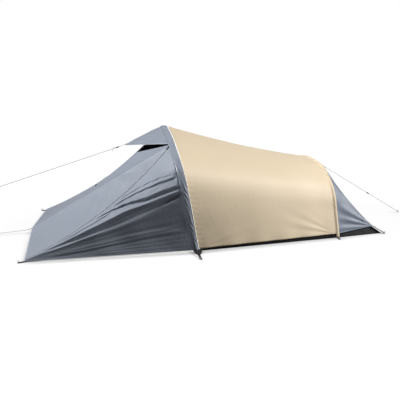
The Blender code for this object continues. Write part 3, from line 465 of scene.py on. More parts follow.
def woven_band(name, colour, roughness=0.7, pitch=0.0014):
    """Webbing: rows of diagonal yarns, the product of two sine waves that cross along and across the band."""
    made, tree, shader = new_material(name, colour, roughness)
    parts = uv_parts(tree)
    rate = 2 * math.pi / pitch
    crossed = [maths(tree, way, parts[0], parts[1]) for way in ("ADD", "SUBTRACT")]
    crossed = [maths(tree, "SINE", maths(tree, "MULTIPLY", value, rate)) for value in crossed]
    yarns = scaled(tree, maths(tree, "MULTIPLY", *crossed), 0.5, 0.5)
    paint(tree, shader, toned(tree, colour, scaled(tree, yarns, 0.6, 0.7)))
    shader.inputs["Sheen Weight"].default_value = 0.02
    bump(tree, shader, [(yarns, 0.7, 0.0004)])
    return made


def sewn_webbing(name, colour, thread, roughness=0.7):
    """Strap webbing: the woven band, with a box of stitches at its sewn end."""
    made = woven_band(name, colour, roughness, 0.0022)
    tree = made.node_tree
    shader = tree.nodes["Principled BSDF"]
    webbing_colour = shader.inputs["Base Color"].links[0].from_socket
    edge, run = stored(tree, "edge"), stored(tree, "run")
    near_end = maths(tree, "LESS_THAN", run, BOX_LENGTH)
    rows = maths(tree, "MULTIPLY", band(tree, edge, BOX_INSET, THREAD_WIDTH), near_end)
    tacks = maths(tree, "MAXIMUM", *(band(tree, run, row, TACK_WIDTH) for row in TACK_ROWS))
    tacks = maths(tree, "MULTIPLY", tacks, maths(tree, "GREATER_THAN", edge, 0.0025))
    gaps = maths(tree, "SUBTRACT", 1.0, lines(tree, run, 0.0030, 0.0010))
    stitches = maths(tree, "MAXIMUM", maths(tree, "MULTIPLY", rows, gaps), tacks)
    paint(tree, shader, mixed(tree, stitches, webbing_colour, thread))
    return made


def coil_zip(name, tape, coil, roughness=0.5):
    """A coil zip: woven tape on both sides, and two rows of coil turns that mesh along the middle."""
    made, tree, shader = new_material(name, tape, roughness)
    side = stored(tree, "side")
    beside = maths(tree, "ABSOLUTE", side)
    middle = maths(tree, "LESS_THAN", beside, COIL_HALF_WIDTH)
    shifted = scaled(tree, maths(tree, "GREATER_THAN", side, 0.0), COIL_HALF_TURN, stored(tree, "run"))
    turns = maths(tree, "PINGPONG", shifted, COIL_HALF_TURN)
    turns = maths(tree, "MULTIPLY", turns, 1.0 / COIL_HALF_TURN)
    yarns = maths(tree, "SINE", maths(tree, "MULTIPLY", uv_parts(tree)[1], TAPE_YARN_RATE))
    weave = scaled(tree, yarns, 0.5, 0.5)
    stitches = band(tree, beside, TAPE_STITCH, 0.0006)
    tone = scaled(tree, weave, 0.25, 0.85)
    tone = maths(tree, "MULTIPLY", tone, scaled(tree, stitches, -0.4, 1.0))
    # Painted shade: each coil turn is darkened towards its ends, where it meets the next turn
    turned = toned(tree, coil, scaled(tree, turns, 0.7, 0.4))
    paint(tree, shader, mixed(tree, middle, toned(tree, tape, tone), turned),
          scaled(tree, middle, -0.18, roughness))
    bump(tree, shader, [(maths(tree, "MULTIPLY", turns, middle), 0.8, 0.0004), (weave, 0.3, 0.0001)])
    return made


def moulded(name, colour, roughness):
    """Moulded plastic: a fine grain and faint rubbed patches, read from Object coordinates."""
    made, tree, shader = new_material(name, colour, roughness)
    place = node(tree, "TexCoord").outputs["Object"]
    worn = scaled(tree, noise(tree, place, 260.0, 3.0), 0.5, 0.75)
    rubbed = scaled(tree, noise(tree, place, 90.0, 4.0), 0.25, roughness - 0.12)
    paint(tree, shader, toned(tree, colour, worn), rubbed)
    bump(tree, shader, [(noise(tree, place, 1500.0, 2.0), 0.3, 0.0001)])
    return made


def drawn_metal(name, colour, roughness):
    """Anodised or bare metal: fine scratches and a slight change of tone, read from Object coordinates."""
    made, tree, shader = new_material(name, colour, roughness, 1.0)
    place = node(tree, "TexCoord").outputs["Object"]
    scratch = noise(tree, place, 700.0, 2.0, (1.0, 0.15, 0.15))
    tone = scaled(tree, noise(tree, place, 12.0, 3.0), 0.3, 0.85)
    paint(tree, shader, toned(tree, colour, tone), scaled(tree, scratch, 0.22, roughness - 0.08))
    bump(tree, shader, [(scratch, 0.2, 0.0001)])
    return made


SAND = coated_cloth("sand_ripstop", (0.80, 0.66, 0.47), (0.70, 0.56, 0.38), 0.55, 0.05, 0.10)
GREY = coated_cloth("grey_ripstop", (0.30, 0.335, 0.40), (0.34, 0.375, 0.44), 0.45, 0.05, 0.22, 1.12)
# Painted shade: the tail panel and the rear seam tape are the same grey ripstop, with cloth and stitching
# darkened to about 0.6 of it
SHADED_TAIL_GREY = coated_cloth("tail_ripstop_painted_shade", (0.175, 0.20, 0.25), (0.21, 0.24, 0.29), 0.55, 0.0, 0.22, 1.05)
SLEEVE_GREY = coated_cloth("sleeve_ripstop", (0.30, 0.335, 0.40), (0.20, 0.23, 0.28), 0.36, 0.05, 0.5)
BLACK = coated_cloth("groundsheet_cloth", (0.006, 0.006, 0.0065), (0.012, 0.012, 0.012), 0.85, 0.0, 0.3)
INNER = coated_cloth("inner_mesh_cloth", (0.62, 0.63, 0.62), (0.4, 0.4, 0.4), 0.75, 0.3, 0.2, weave=0.0025)
WEBBING = sewn_webbing("black_webbing_weave", (0.008, 0.008, 0.008), (0.05, 0.05, 0.05), 0.8)
PALE_WEBBING = sewn_webbing("pale_webbing_weave", (0.42, 0.42, 0.44), (0.62, 0.62, 0.62))
GUY_BRAID = woven_band("guyline_braid", (0.16, 0.016, 0.009), 0.75, 0.0016)
PALE_BRAID = woven_band("pale_cord_braid", (0.55, 0.55, 0.56), 0.65, 0.0014)
PIPING = woven_band("piping_cover", (0.92, 0.90, 0.86), 0.55, 0.0012)
COIL = coil_zip("zip_coil_and_tape", (0.47, 0.50, 0.56), (0.40, 0.43, 0.48), 0.45)
BLACK_COIL = coil_zip("inner_zip_coil", (0.03, 0.03, 0.03), (0.02, 0.02, 0.02))
PLASTIC = moulded("black_moulding", (0.015, 0.015, 0.016), 0.42)
REAR_PIPING = woven_band("rear_piping_cover", (0.82, 0.68, 0.49), 0.55, 0.0012)
SEAM_GREY = woven_band("seam_tape", (0.25, 0.29, 0.36), 0.45, 0.0012)
TUBE = drawn_metal("anodised_tube", (0.10, 0.11, 0.12), 0.3)
PEG = drawn_metal("bare_peg_wire", (0.60, 0.61, 0.63), 0.35)


# Mesh making
def put_mesh(name, points, faces, uv, material, caps=()):
    """A mesh object from arrays: corner places, faces of one size, places on the cloth and caps."""
    mesh = bpy.data.meshes.new(name)
    mesh.from_pydata(points.reshape(-1, 3).tolist(), [], faces.tolist() + [list(cap) for cap in caps])
    layer = mesh.uv_layers.new(name="cloth")
    corner = np.empty(len(mesh.loops), np.int32)
    mesh.loops.foreach_get("vertex_index", corner)
    layer.data.foreach_set("uv", uv.reshape(-1, 2)[corner].astype(np.float32).ravel())
    mesh.shade_smooth()
    mesh.materials.append(material)
    return linked(name, mesh)


def quads(rows, cols, around=False):
    """Corner numbers of the quads of a grid, whose columns close on themselves where it goes around."""
    i, j = np.meshgrid(np.arange(rows - 1), np.arange(cols if around else cols - 1), indexing="ij")
    k = (j + 1) % cols
    return np.stack([i * cols + j, i * cols + k, (i + 1) * cols + k, (i + 1) * cols + j], -1).reshape(-1, 4)


def spread(grid):
    """How far each point of a grid lies along its row and along its column."""
    along = np.zeros(grid.shape[:2])
    down = np.zeros(grid.shape[:2])
    along[:, 1:] = np.cumsum(np.linalg.norm(np.diff(grid, axis=1), axis=2), axis=1)
    down[1:] = np.cumsum(np.linalg.norm(np.diff(grid, axis=0), axis=2), axis=0)
    return along, down


def normals_of(grid, inside):
    """Unit normals of a grid, from its two differences crossed, turned away from the point inside."""
    n = unit(np.cross(np.gradient(grid, axis=0), np.gradient(grid, axis=1)) + 1e-12)
    return n * np.sign(((grid - inside) * n).sum(-1).mean())


def set_values(made, **values):
    """Keeps a value at each corner of a mesh, for its material to read."""
    for key, value in values.items():
        whole = np.broadcast_to(np.ravel(value), len(made.data.vertices)).astype(np.float32)
        made.data.attributes.new(key, "FLOAT", "POINT").data.foreach_set("value", whole)


def thicken(made, thickness, offset=0.0):
    wall = made.modifiers.new("thickness", "SOLIDIFY")
    wall.thickness, wall.offset = thickness, offset


def placed(made, body, slot, nodes=()):
    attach(made, body)
    if nodes:
        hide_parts(*nodes)
    return made


def cloth(name, grid, base, material, slot, body="tent", thickness=THIN):
    """A sewn panel: the grid as a thin closed sheet. base is the same panel before its folds, whose lengths
    are those the cloth was cut to. Its area is that of the folded panel, whose folds are slack cloth."""
    along, down = spread(base)
    made = put_mesh(name, grid, quads(*grid.shape[:2]), np.stack([along, down], -1), material)
    sides = np.stack([along, along[:, -1:] - along, down, down[-1:] - down])
    beside = np.minimum(sides[0], sides[1]) < np.minimum(sides[2], sides[3])
    set_values(made, edge=sides.min(0), run=np.where(beside, down, along))
    thicken(made, thickness)
    placed(made, body, slot, (name.replace("_cloth", ""),))


def length_along(path):
    return np.concatenate([[0.0], np.cumsum(np.linalg.norm(np.diff(path, axis=0), axis=1))])


def square_to(way):
    """A direction square to this one: crossed with up, or with x where it stands nearly upright."""
    return unit(np.cross(way, UP if abs(way[2]) < 0.9 else X_WAY))


def directions(path):
    """Tangents of a path, with two directions square to each that turn as little as they can on the way."""
    way = unit(np.gradient(path, axis=0))
    side = square_to(way[0])
    sides = np.empty_like(way)
    for i, ahead in enumerate(way):
        side = unit(side - (side @ ahead) * ahead)
        sides[i] = side
    return way, sides, np.cross(way, sides)


def carried(name, path, across, over, profile, material, body, slot, nodes=()):
    """A closed profile carried along a path: the path's point plus its shares along two directions."""
    profile = np.asarray(profile, float)
    rings = path[:, None] + profile[None, :, :1] * across[:, None] + profile[None, :, 1:] * over[:, None]
    girth = np.concatenate([[0.0], np.cumsum(np.linalg.norm(np.diff(profile, axis=0), axis=1))])
    along = length_along(path)
    uv = np.stack(np.broadcast_arrays(girth[None], along[:, None]), -1)
    rows, cols = rings.shape[:2]
    caps = (range(cols)[::-1], range((rows - 1) * cols, rows * cols))
    made = put_mesh(name, rings, quads(rows, cols, True), uv, material, caps)
    outwards(made)
    set_values(made, side=np.tile(profile[:, 0], rows), run=np.repeat(along, cols), edge=FAR_FROM_EDGE)
    return placed(made, body, slot, nodes)


def outwards(made):
    """Turns a closed mesh's faces outwards."""
    work = bmesh.new()
    work.from_mesh(made.data)
    bmesh.ops.recalc_face_normals(work, faces=work.faces)
    if work.calc_volume(signed=True) < 0.0:
        bmesh.ops.reverse_faces(work, faces=work.faces)
    work.to_mesh(made.data)
    work.free()


def circle(count):
    turn = np.linspace(0, 2 * math.pi, count, endpoint=False)
    return np.stack([np.cos(turn), np.sin(turn)], -1)


def braid(name, path, radius, material, body, slot, nodes=(), sides=10):
    """A round cord: a circle carried along its path."""
    path = np.asarray(path, float)
    _, across, over = directions(path)
    return carried(name, path, across, over, radius * circle(sides), material, body, slot, nodes)


def waves(p, seed, scale, count=9):
    """Seeded waviness in space: a sum of sines whose directions and phases come from one draw."""
    rng = np.random.default_rng(seed)
    k = unit(rng.normal(size=(count, 3))) * rng.uniform(0.7, 1.4, (count, 1)) * 2 * math.pi / scale
    return np.sin(p @ k.T + rng.uniform(0, 2 * math.pi, count)).sum(-1) / math.sqrt(count)


def step_fold(x):
    """A fold with a crest above its line and a hollow below it: x times a bell."""
    return x * np.exp(0.5 * (1 - x ** 2))


def fade(x, start, end):
    """0 up to start and 1 from end on, with a smooth step between: 3 t^2 - 2 t^3."""
    t = np.clip((x - start) / (end - start), 0, 1)
    return t * t * (3 - 2 * t)


def between(x, start, up, down, end):
    """1 from up to down, and 0 before start and after end."""
    return fade(x, start, up) * (1 - fade(x, down, end))


def cycles(x):
    """So many whole cycles of a wave, as an angle."""
    return 2 * math.pi * x


# The body's puckers: height, pitch along the seam, sway, the sway's rate and reach from the seam
FRONT_PUCKERS = (0.0011, 0.050, 1.2, 7, 0.05)
REAR_PUCKERS = (0.0010, 0.042, 1.0, 9, 0.045)
SEAM_SPACING = 1.42
HEM_WAVE_HEIGHT = 0.0022
HEM_WAVE_LENGTH = 0.27
HEM_WAVE_REACH = 0.09
FRONT_FAN_HEIGHT = 0.0016
REAR_FAN_HEIGHT = 0.0020
FAN_PITCH = 0.30
FAN_MIDDLE = 0.35
FAN_WIDTH = 0.28
FAN_RUN = (0.02, 0.16, 0.30, 0.75)
BODY_SWELL = 0.0012
BODY_SWELL_SIZE = 0.55


# Cloth panels
def make_body():
    """Straight lines from arch to arch less a parabolic sag, with puckers that die away from both seams."""
    s = np.linspace(0, 1, 141)[:, None]
    w = np.linspace(-1, 1, 301)
    u_front = -w * FRONT.u_at_height(BODY_HEM_HEIGHT)
    u_rear = -w * REAR.u_at_height(REAR_HEM_HEIGHT)
    out = unit(lerp(FRONT.outward(u_front)[None], REAR.outward(u_rear)[None], s[..., None]))
    sag = BODY_SAG * bow(s) * (1 - np.abs(w[None]) ** 4)
    straight = lerp(FRONT.body_edge(u_front)[None], REAR.body_edge(u_rear)[None], s[..., None])
    base = straight - sag[..., None] * out
    girth = FRONT.metres(w[None])
    from_front, from_rear = s * SEAM_SPACING, (1 - s) * SEAM_SPACING
    from_hem = (1 - np.abs(w[None])) * 0.5 * lerp(FRONT.length, REAR.length, s)
    lift = np.zeros(base.shape[:2])
    for (high, pitch, sway, rate, reach), away in ((FRONT_PUCKERS, from_front), (REAR_PUCKERS, from_rear)):
        wave = np.sin(cycles(girth / pitch) + sway * np.sin(rate * girth))
        lift = lift + high * wave * np.exp(-away / reach)
    inside = fade(from_front, 0, 0.1) * fade(from_rear, 0, 0.1)
    hem_wave = np.sin(cycles(from_front / HEM_WAVE_LENGTH) + 0.8 + np.sign(w[None]))
    lift = lift + HEM_WAVE_HEIGHT * hem_wave * np.exp(-from_hem / HEM_WAVE_REACH) * inside
    for away, high in ((from_rear, REAR_FAN_HEIGHT), (from_front, FRONT_FAN_HEIGHT)):
        turn = np.arctan2(from_hem, away + 1e-6)
        fan = np.sin(cycles(turn / FAN_PITCH) + 0.6) * np.exp(-((turn - FAN_MIDDLE) / FAN_WIDTH) ** 2)
        lift = lift + high * fan * between(np.hypot(away, from_hem), *FAN_RUN)
    lift = lift * fade(from_front, 0, 0.01) * fade(from_rear, 0, 0.01)
    free = fade(from_front, 0, 0.2) * fade(from_rear, 0, 0.2)
    lift = lift + BODY_SWELL * waves(base, 3, BODY_SWELL_SIZE) * free
    cloth("fly_body_cloth", base + lift[..., None] * out, base, SAND, "sand_cloth")


# How deep the folds are beside their listed heights, then the fine ribs and the swell of the vestibule's side
FOLD_DEPTH = 1.45
RIB_HEIGHT = 0.0016
RIB_COUNT = 19
SIDE_SWELL = 0.0022
SIDE_SWELL_SIZE = 0.30

# Folds of the vestibule side: its line (shares along the panel and up the arch), width, height and run
SIDE_FOLDS = (
    (((0.60, 0.955), (0.80, 0.825), (0.98, 0.700)), 0.013, 0.0050, (0.50, 0.70, 0.97, 1.02)),
    (((0.50, 0.945), (0.81, 0.752), (0.98, 0.672)), 0.014, 0.0062, (0.45, 0.62, 0.97, 1.02)),
    (((0.42, 0.925), (0.77, 0.655), (0.98, 0.592)), 0.016, 0.0080, (0.35, 0.55, 0.97, 1.02)),
    (((0.10, 0.70), (0.36, 0.659), (0.63, 0.630), (0.79, 0.575), (0.98, 0.542)), 0.017, 0.0110,
     (0.12, 0.35, 0.97, 1.02)),
    (((0.10, 0.60), (0.36, 0.545), (0.57, 0.508), (0.96, 0.503)), 0.020, -0.0065, (0.10, 0.30, 0.93, 1.0)),
    (((0.10, 0.48), (0.36, 0.455), (0.60, 0.425), (0.96, 0.44)), 0.019, 0.0068, (0.10, 0.28, 0.70, 0.92)),
    (((0.10, 0.30), (0.35, 0.308), (0.62, 0.298), (0.87, 0.268)), 0.018, -0.0052, (0.12, 0.30, 0.80, 0.95)),
    (((0.10, 0.16), (0.34, 0.171), (0.66, 0.204), (0.89, 0.197)), 0.016, 0.0052, (0.12, 0.30, 0.85, 0.98)),
    (((0.10, 0.80), (0.36, 0.800), (0.60, 0.770)), 0.012, 0.0036, (0.15, 0.30, 0.50, 0.72)),
)


def side_surface(edge, far):
    """A cone from the ground corner to the arch, hollowed by two parabolas, with folds along fanned lines."""
    p = np.append(np.linspace(POINT_SHARE, 1 - ZIP_END_SHARE, 150), 1.0)[:, None]
    q = np.linspace(0, 1, 241)[None, :]
    foot = FRONT.u_at_height(SIDE_HEM_HEIGHT)
    top = U_RIDGE - edge / (0.5 * FRONT.length)
    arch_edge = FRONT.far_edge(lerp(foot, top, q[0]))[None]
    ridge = RIDGE.at(p[:, 0], -edge)[:, None]
    straight = lerp(CORNER, arch_edge, p[..., None])
    pull = ridge - lerp(CORNER, arch_edge[:, -1:], p[..., None])
    pull[-1] = 0.0
    inward = unit(np.cross(FRONT.at(-1.0) - CORNER, RIDGE.at(0.5) - CORNER))
    inward = inward * math.copysign(1.0, inward[1])
    base = straight + pull * (q ** 2)[..., None] + (SIDE_SAG * bow(p) * bow(q))[..., None] * inward
    span = FRONT.metres(p * (top - foot))
    lift = np.zeros(base.shape[:2])
    for line, width, height, run in SIDE_FOLDS:
        knots = np.array(line)
        middle = np.interp(p, knots[:, 0], knots[:, 1])
        drop = (q - middle) * span / (width * (0.55 + 0.6 * p))
        lift = lift + FOLD_DEPTH * height * step_fold(drop) * between(p, *run)
    rise = q * span
    ribs = np.sin(cycles(q * RIB_COUNT + 0.4 * np.sin(9 * q)))
    lift = lift + RIB_HEIGHT * ribs * fade(p, 0.06, 0.3) * (1 - 0.6 * p)
    lift = lift + SIDE_SWELL * waves(base, 11, SIDE_SWELL_SIZE) * fade(p, 0.1, 0.5)
    lift = lift * fade(rise, 0, 0.03) * fade(span - rise, 0, 0.03) * (1 - fade(p, 0.975, 1.0))
    grid = base - lift[..., None] * inward
    if far:
        return grid * MIRROR, base * MIRROR
    return grid, base


FRONT_SWELL = 0.0022
FRONT_SWELL_SIZE = 0.42
FRONT_CRUMPLE = 0.0010
FRONT_CRUMPLE_SIZE = 0.16


def front_lift(p):
    """The soft waviness of the vestibule's front, the same on every panel that shares a line."""
    return FRONT_SWELL * waves(p, 21, FRONT_SWELL_SIZE) + FRONT_CRUMPLE * waves(p, 22, FRONT_CRUMPLE_SIZE)


def front_surface(outer, inner, columns):
    """Straight lines from one edge to the other, with a soft waviness that dies away at every sewn edge."""
    t = np.linspace(0, 1, columns)[None, :, None]
    base = lerp(outer[:, None], inner[:, None], t)
    n = normals_of(base, np.array([X_ARCH, 0.0, 0.0]))
    along, down = spread(base)
    free = fade(down, 0, 0.05) * fade(down[-1:] - down, 0, 0.05)
    free = free * fade(along, 0, 0.04) * fade(along[:, -1:] - along, 0, 0.04)
    return base + (front_lift(base) * free)[..., None] * n, base


def make_vestibule():
    for side, edge in (("near", RIDGE_EDGE), ("far", SEWN_GAP)):
        grid, base = side_surface(edge, side == "far")
        cloth("vestibule_side_%s_cloth" % side, grid, base, GREY, "grey_cloth")
    p = np.linspace(POINT_SHARE, 1 - ZIP_END_SHARE, 130)
    grid, base = front_surface(RIDGE.at(p, RIDGE_EDGE), fold_line(p, -1), 70)
    cloth("vestibule_door_flap_cloth", grid, base, GREY, "grey_cloth",
          body="vestibule_door")
    p = np.append(p, 1.0)
    lip = FRONT.far_edge(U_LIP)[None]
    centre = seam(p) - SEWN_GAP * Y_WAY
    centre = np.vstack([centre, centre[-1:]])
    grid, base = front_surface(np.vstack([fold_line(p, 1), lip]), centre, 70)
    cloth("vestibule_front_near_cloth", grid, base, GREY, "grey_cloth")
    grid, base = front_surface(np.vstack([RIDGE.at(p, SEWN_GAP), lip]), centre, 110)
    grid, base = (panel[:, ::-1] * MIRROR for panel in (grid, base))
    cloth("vestibule_front_far_cloth", grid, base, GREY, "grey_cloth")


# The hood's folds and the tail's fans: how high, how many or how wide, and the swell of each
HOOD_FOLD_HEIGHT = 0.0030
HOOD_FOLD_COUNT = 3.2
HOOD_SWELL = 0.0022
HOOD_SWELL_SIZE = 0.22
TAIL_FAN_HEIGHT = 0.0045
TAIL_FAN_PITCH = 0.24
TAIL_SWELL = 0.0020
TAIL_SWELL_SIZE = 0.25


def make_hood():
    """Straight lines from the tip to the arch's top, with shallow folds that run the same way."""
    p = np.linspace(HOOD_START_SHARE, 1, 90)[:, None]
    w = np.linspace(-1, 1, 161)[None]
    base = lerp(HOOD_TIP, FRONT.far_edge(-w[0] * U_HOOD)[None], p[..., None])
    n = normals_of(base, np.array([X_ARCH - 0.3, 0.0, 0.5]))
    lift = HOOD_FOLD_HEIGHT * np.sin(cycles(w * HOOD_FOLD_COUNT + 0.3)) * between(p, 0.05, 0.5, 0.85, 1.0)
    lift = lift + HOOD_SWELL * waves(base, 31, HOOD_SWELL_SIZE) * between(p, 0.1, 0.4, 0.93, 1.0)
    lift = lift * (1 - np.abs(w) ** 8)
    cloth("vent_hood_cloth", base + lift[..., None] * n, base, GREY, "grey_cloth")


def hem_columns(start, corner, w):
    """Points of a hem that runs straight from one side to the two corners and on to the other side."""
    knots = np.array([-1.0, -0.5, 0.5, 1.0])
    points = np.array([start, corner, corner * MIRROR, start * MIRROR])
    return np.stack([np.interp(w, knots, points[:, k]) for k in range(3)], -1)


def make_tail():
    """Straight lines from the rear arch to a hem with two corners, with folds that fan from each corner."""
    w = np.linspace(-1, 1, 241)
    u = -w * REAR.u_at_height(REAR_HEM_HEIGHT)
    edge = REAR.far_edge(u)
    p = np.linspace(0, 1, 90)[:, None]
    sag = TAIL_SAG * bow(p) * (1 - np.abs(w[None]) ** 3)
    hem = hem_columns(edge[0], TAIL_CORNER, w)
    base = lerp(edge[None], hem[None], p[..., None]) - sag[..., None] * REAR.outward(u)[None]
    n = normals_of(base, np.array([X_REAR, 0.0, 0.1]))
    lift = np.zeros(base.shape[:2])
    for flip in (1.0, -1.0):
        away = base - TAIL_CORNER * (1, flip, 1)
        level = np.abs(away[..., 0]) + 0.6 * np.maximum(0, flip * away[..., 1])
        turn = np.arctan2(away[..., 2], level + 1e-6)
        fan = between(np.linalg.norm(away, axis=-1), 0.03, 0.15, 0.30, 0.55)
        lift = lift + TAIL_FAN_HEIGHT * np.sin(cycles(turn / TAIL_FAN_PITCH)) * fan
    lift = (lift + TAIL_SWELL * waves(base, 41, TAIL_SWELL_SIZE)) * between(p, 0, 0.12, 0.88, 1.0)
    cloth("tail_panel_cloth", base + lift[..., None] * n, base, SHADED_TAIL_GREY, "grey_cloth")


# Sleeve wrinkles: their pitch along the sleeve, their slant across it and their height on each sleeve
WRINKLE_PITCH = 0.105
WRINKLE_SLANT = 0.024
FRONT_WRINKLE = 0.0062
REAR_WRINKLE = 0.0012


def make_sleeve(name, arch, material, slot, wrinkle):
    """A flattened ring carried along the arch, lifted by slanting wrinkles that end at its two edges."""
    span = 1.0 - (FOOT_CLEARANCE + SLEEVE_FOOT_LIFT) / (0.5 * arch.length)
    u = np.linspace(-span, span, 601)
    a = np.linspace(0, 2 * math.pi, 33)[:-1]
    wide_part, high_part = np.cos(a), np.sin(a)
    reach = arch.sleeve_reach(u)
    middle = arch.body_side * 0.5 * (SLEEVE_BODY_REACH - reach)
    wide = 0.5 * (SLEEVE_BODY_REACH + reach) - 0.5 * CLOTH
    high = POLE_RADIUS + CLOTH
    along = arch.metres(u[:, None])
    shift = middle[:, None] + wide[:, None] * wide_part[None]
    slant = cycles(along / WRINKLE_PITCH + shift / WRINKLE_SLANT)
    slant = slant + 1.6 * np.sin(along * 17) + 0.8 * np.sin(along * 41)
    crease = wrinkle * (0.5 + 0.5 * np.sin(slant)) * (0.65 + 0.35 * np.sin(along * 23 + 1.0))
    crease = crease * (1 - np.abs(wide_part[None]) ** 6) * np.abs(high_part[None])
    rise = (high + crease) * high_part[None]
    points = (arch.at(u)[:, None] + shift[..., None] * arch.axial
              + rise[..., None] * arch.outward(u)[:, None])
    uv = np.stack(np.broadcast_arrays(wide[:, None] * a[None] * 0.64, along), -1)
    made = put_mesh(name + "_cloth", points, quads(len(u), len(a), True), uv, material)
    set_values(made, edge=FAR_FROM_EDGE, run=0.0)
    thicken(made, THIN, -1.0)
    placed(made, "tent", slot, (name,))


# The floor at the front, at the rear arch and at the foot end: x and half width on the ground, and its rim
FLOOR_BASE = np.array([[-0.5 * FLOOR_LENGTH, FLOOR_HALF_WIDTHS[0]], [X_REAR, FLOOR_HALF_WIDTHS[1]],
                       [0.5 * FLOOR_LENGTH, FLOOR_HALF_WIDTHS[2]]])
FLOOR_RIM = np.array([[-0.5 * FLOOR_LENGTH, -0.735, FLOOR_WALL], [X_REAR, -0.610, FLOOR_WALL],
                      [0.835, -0.530, 0.085]])
FLOOR_STATIONS = (0, 1, 2)
FLOOR_LIFT = 0.00075
WALL_BULGE = 0.006
WALL_WAVE = 0.003
WALL_WAVE_COUNT = 3.7


def rim_near(s):
    """The near side of the floor's rim at station s, 0 at the front to 2 at the foot end."""
    return np.stack([np.interp(np.asarray(s, float), FLOOR_STATIONS, FLOOR_RIM[:, k]) for k in range(3)], -1)


def end_rim(row, corner):
    """A straight rim across one end, with its points spread as the sheet's are."""
    return np.stack(np.broadcast_arrays(corner[0], row / np.abs(row).max() * -corner[1], corner[2]), -1)


def make_floor():
    """A flat sheet with its border turned up: each ring out from the sheet's edge climbs the leaning wall."""
    s = np.linspace(0, 2, 120)
    t = np.linspace(-1, 1, 61)
    x, half = (np.interp(s, FLOOR_STATIONS, FLOOR_BASE[:, k]) for k in (0, 1))
    sheet = np.stack(np.broadcast_arrays(x[:, None], half[:, None] * t[None], FLOOR_LIFT), -1)
    rise = np.linspace(0, 1, 11)[::-1]
    near = lerp(sheet[:, :1], rim_near(s)[:, None], rise[None, :, None])[:, :-1]
    bulge = WALL_BULGE * np.sin(math.pi * s / 2) + WALL_WAVE * np.sin(cycles(s * WALL_WAVE_COUNT))
    bulge = bulge * between(s, 0, 0.1, 1.9, 2)
    near = near - (bulge[:, None] * np.sin(math.pi * rise[:-1]))[..., None] * Y_WAY
    middle = np.concatenate([near, sheet, (near * MIRROR)[:, ::-1]], 1)
    first = end_rim(middle[0, :, 1], rim_near(0.0))
    last = end_rim(middle[-1, :, 1], rim_near(2.0))
    up = np.linspace(1, 0, 9)[:-1, None, None]
    front_wall = lerp(middle[:1], first[None], up)
    back_wall = lerp(middle[-1:], last[None], up[::-1])
    base = np.concatenate([front_wall, middle, back_wall], 0)
    cloth("bathtub_floor_cloth", base, base, BLACK, "black_cloth", thickness=CLOTH)


def pulled_down(edge, w, foot):
    """An edge along an arch, with its two ends brought down to the floor's rim."""
    pull = (np.abs(w) ** 6)[:, None]
    return edge + pull * np.where(w[:, None] < 0, foot - edge[0], (foot - edge[0]) * MIRROR)


def make_inner():
    """The inner canopy: straight lines between the arches less a sag, then down to the foot end's rim."""
    w = np.linspace(-1, 1, 161)
    side = np.abs(w[None, :, None])
    front = canopy_front(w)
    u = -w * REAR.u_at_height(FLOOR_WALL)
    rear = pulled_down(REAR.at(u, 0.0, -INNER_DROP), w, rim_near(1.0) + RIM_LIFT * UP)
    out = REAR.outward(u)[None]
    s = np.linspace(0, 1, 70)[:, None, None]
    fore = lerp(front[None], rear[None], s) - BODY_SAG * bow(s) * (1 - side ** 4) * out
    hem = hem_columns(rim_near(1.0), rim_near(2.0), w) + RIM_LIFT * UP
    p = np.linspace(0, 1, 40)[1:, None, None]
    aft = lerp(rear[None], hem[None], p) - TAIL_SAG * bow(p) * (1 - side ** 3) * out
    base = np.concatenate([fore, aft], 0)
    n = normals_of(base, np.array([0.0, 0.0, 0.2]))
    row = np.arange(len(base))[:, None]
    free = fade(1 - np.abs(w), 0, 0.06)[None] * fade(row, 0, 6) * fade(len(base) - 1 - row, 0, 6)
    slack = CANOPY_SLACK * (0.5 + 0.5 * waves(base, 51, CANOPY_SWELL_SIZE)) * free
    cloth("inner_canopy_cloth", base - slack[..., None] * n, base, INNER, "inner_cloth")


# The inner tent's front wall: its plane, its round door and the zip between them
WALL_ORIGIN = np.array([FRONT.base_x, 0.0, 0.0])
SILL_RISE = DOOR_SILL / FRONT.rise[2]
HINGE_RISE = SILL_RISE + 0.5 * CLOTH + GAP
RIM_LIFT = GAP + 0.0004
INNER_FRONT = float((rim_near(0.0) + RIM_LIFT * UP - WALL_ORIGIN) @ FRONT.axial)
WALL_PLACE = WALL_ORIGIN + (INNER_FRONT - SEWN_GAP - 0.0002) * FRONT.axial
DOOR_CENTRE = np.array([0.0, DOOR_CENTRE_HEIGHT])
INNER_ZIP_END_TURN = 0.004
INNER_SLIDER_TURN = 0.06


def canopy_front(w):
    """The inner canopy's front edge, parallel to the arch and brought down to the floor's rim."""
    u = -w * FRONT.u_at_height(FLOOR_WALL)
    return pulled_down(FRONT.at(u, INNER_FRONT, -INNER_DROP), w, rim_near(0.0) + RIM_LIFT * UP)


def in_wall(flat, lift):
    """Points of the wall's plane from their places across and up it, lifted along its normal."""
    return (WALL_PLACE + flat[..., :1] * Y_WAY + flat[..., 1:] * FRONT.rise
            + lift[..., None] * FRONT.axial)


def door_turn(rise, radius):
    """The angle at which a circle about the door's centre stands this far up the wall."""
    return math.asin((rise - DOOR_CENTRE_HEIGHT) / radius)


def flat_cloth(name, flat, grid, around, body):
    """A flat panel cut to a shape: its grid in space, with its flat places as the pattern's own."""
    made = put_mesh(name, grid, quads(*grid.shape[:2], around), flat, INNER)
    thicken(made, THIN)
    placed(made, body, "inner_cloth", (name.replace("_cloth", ""),))
    return made


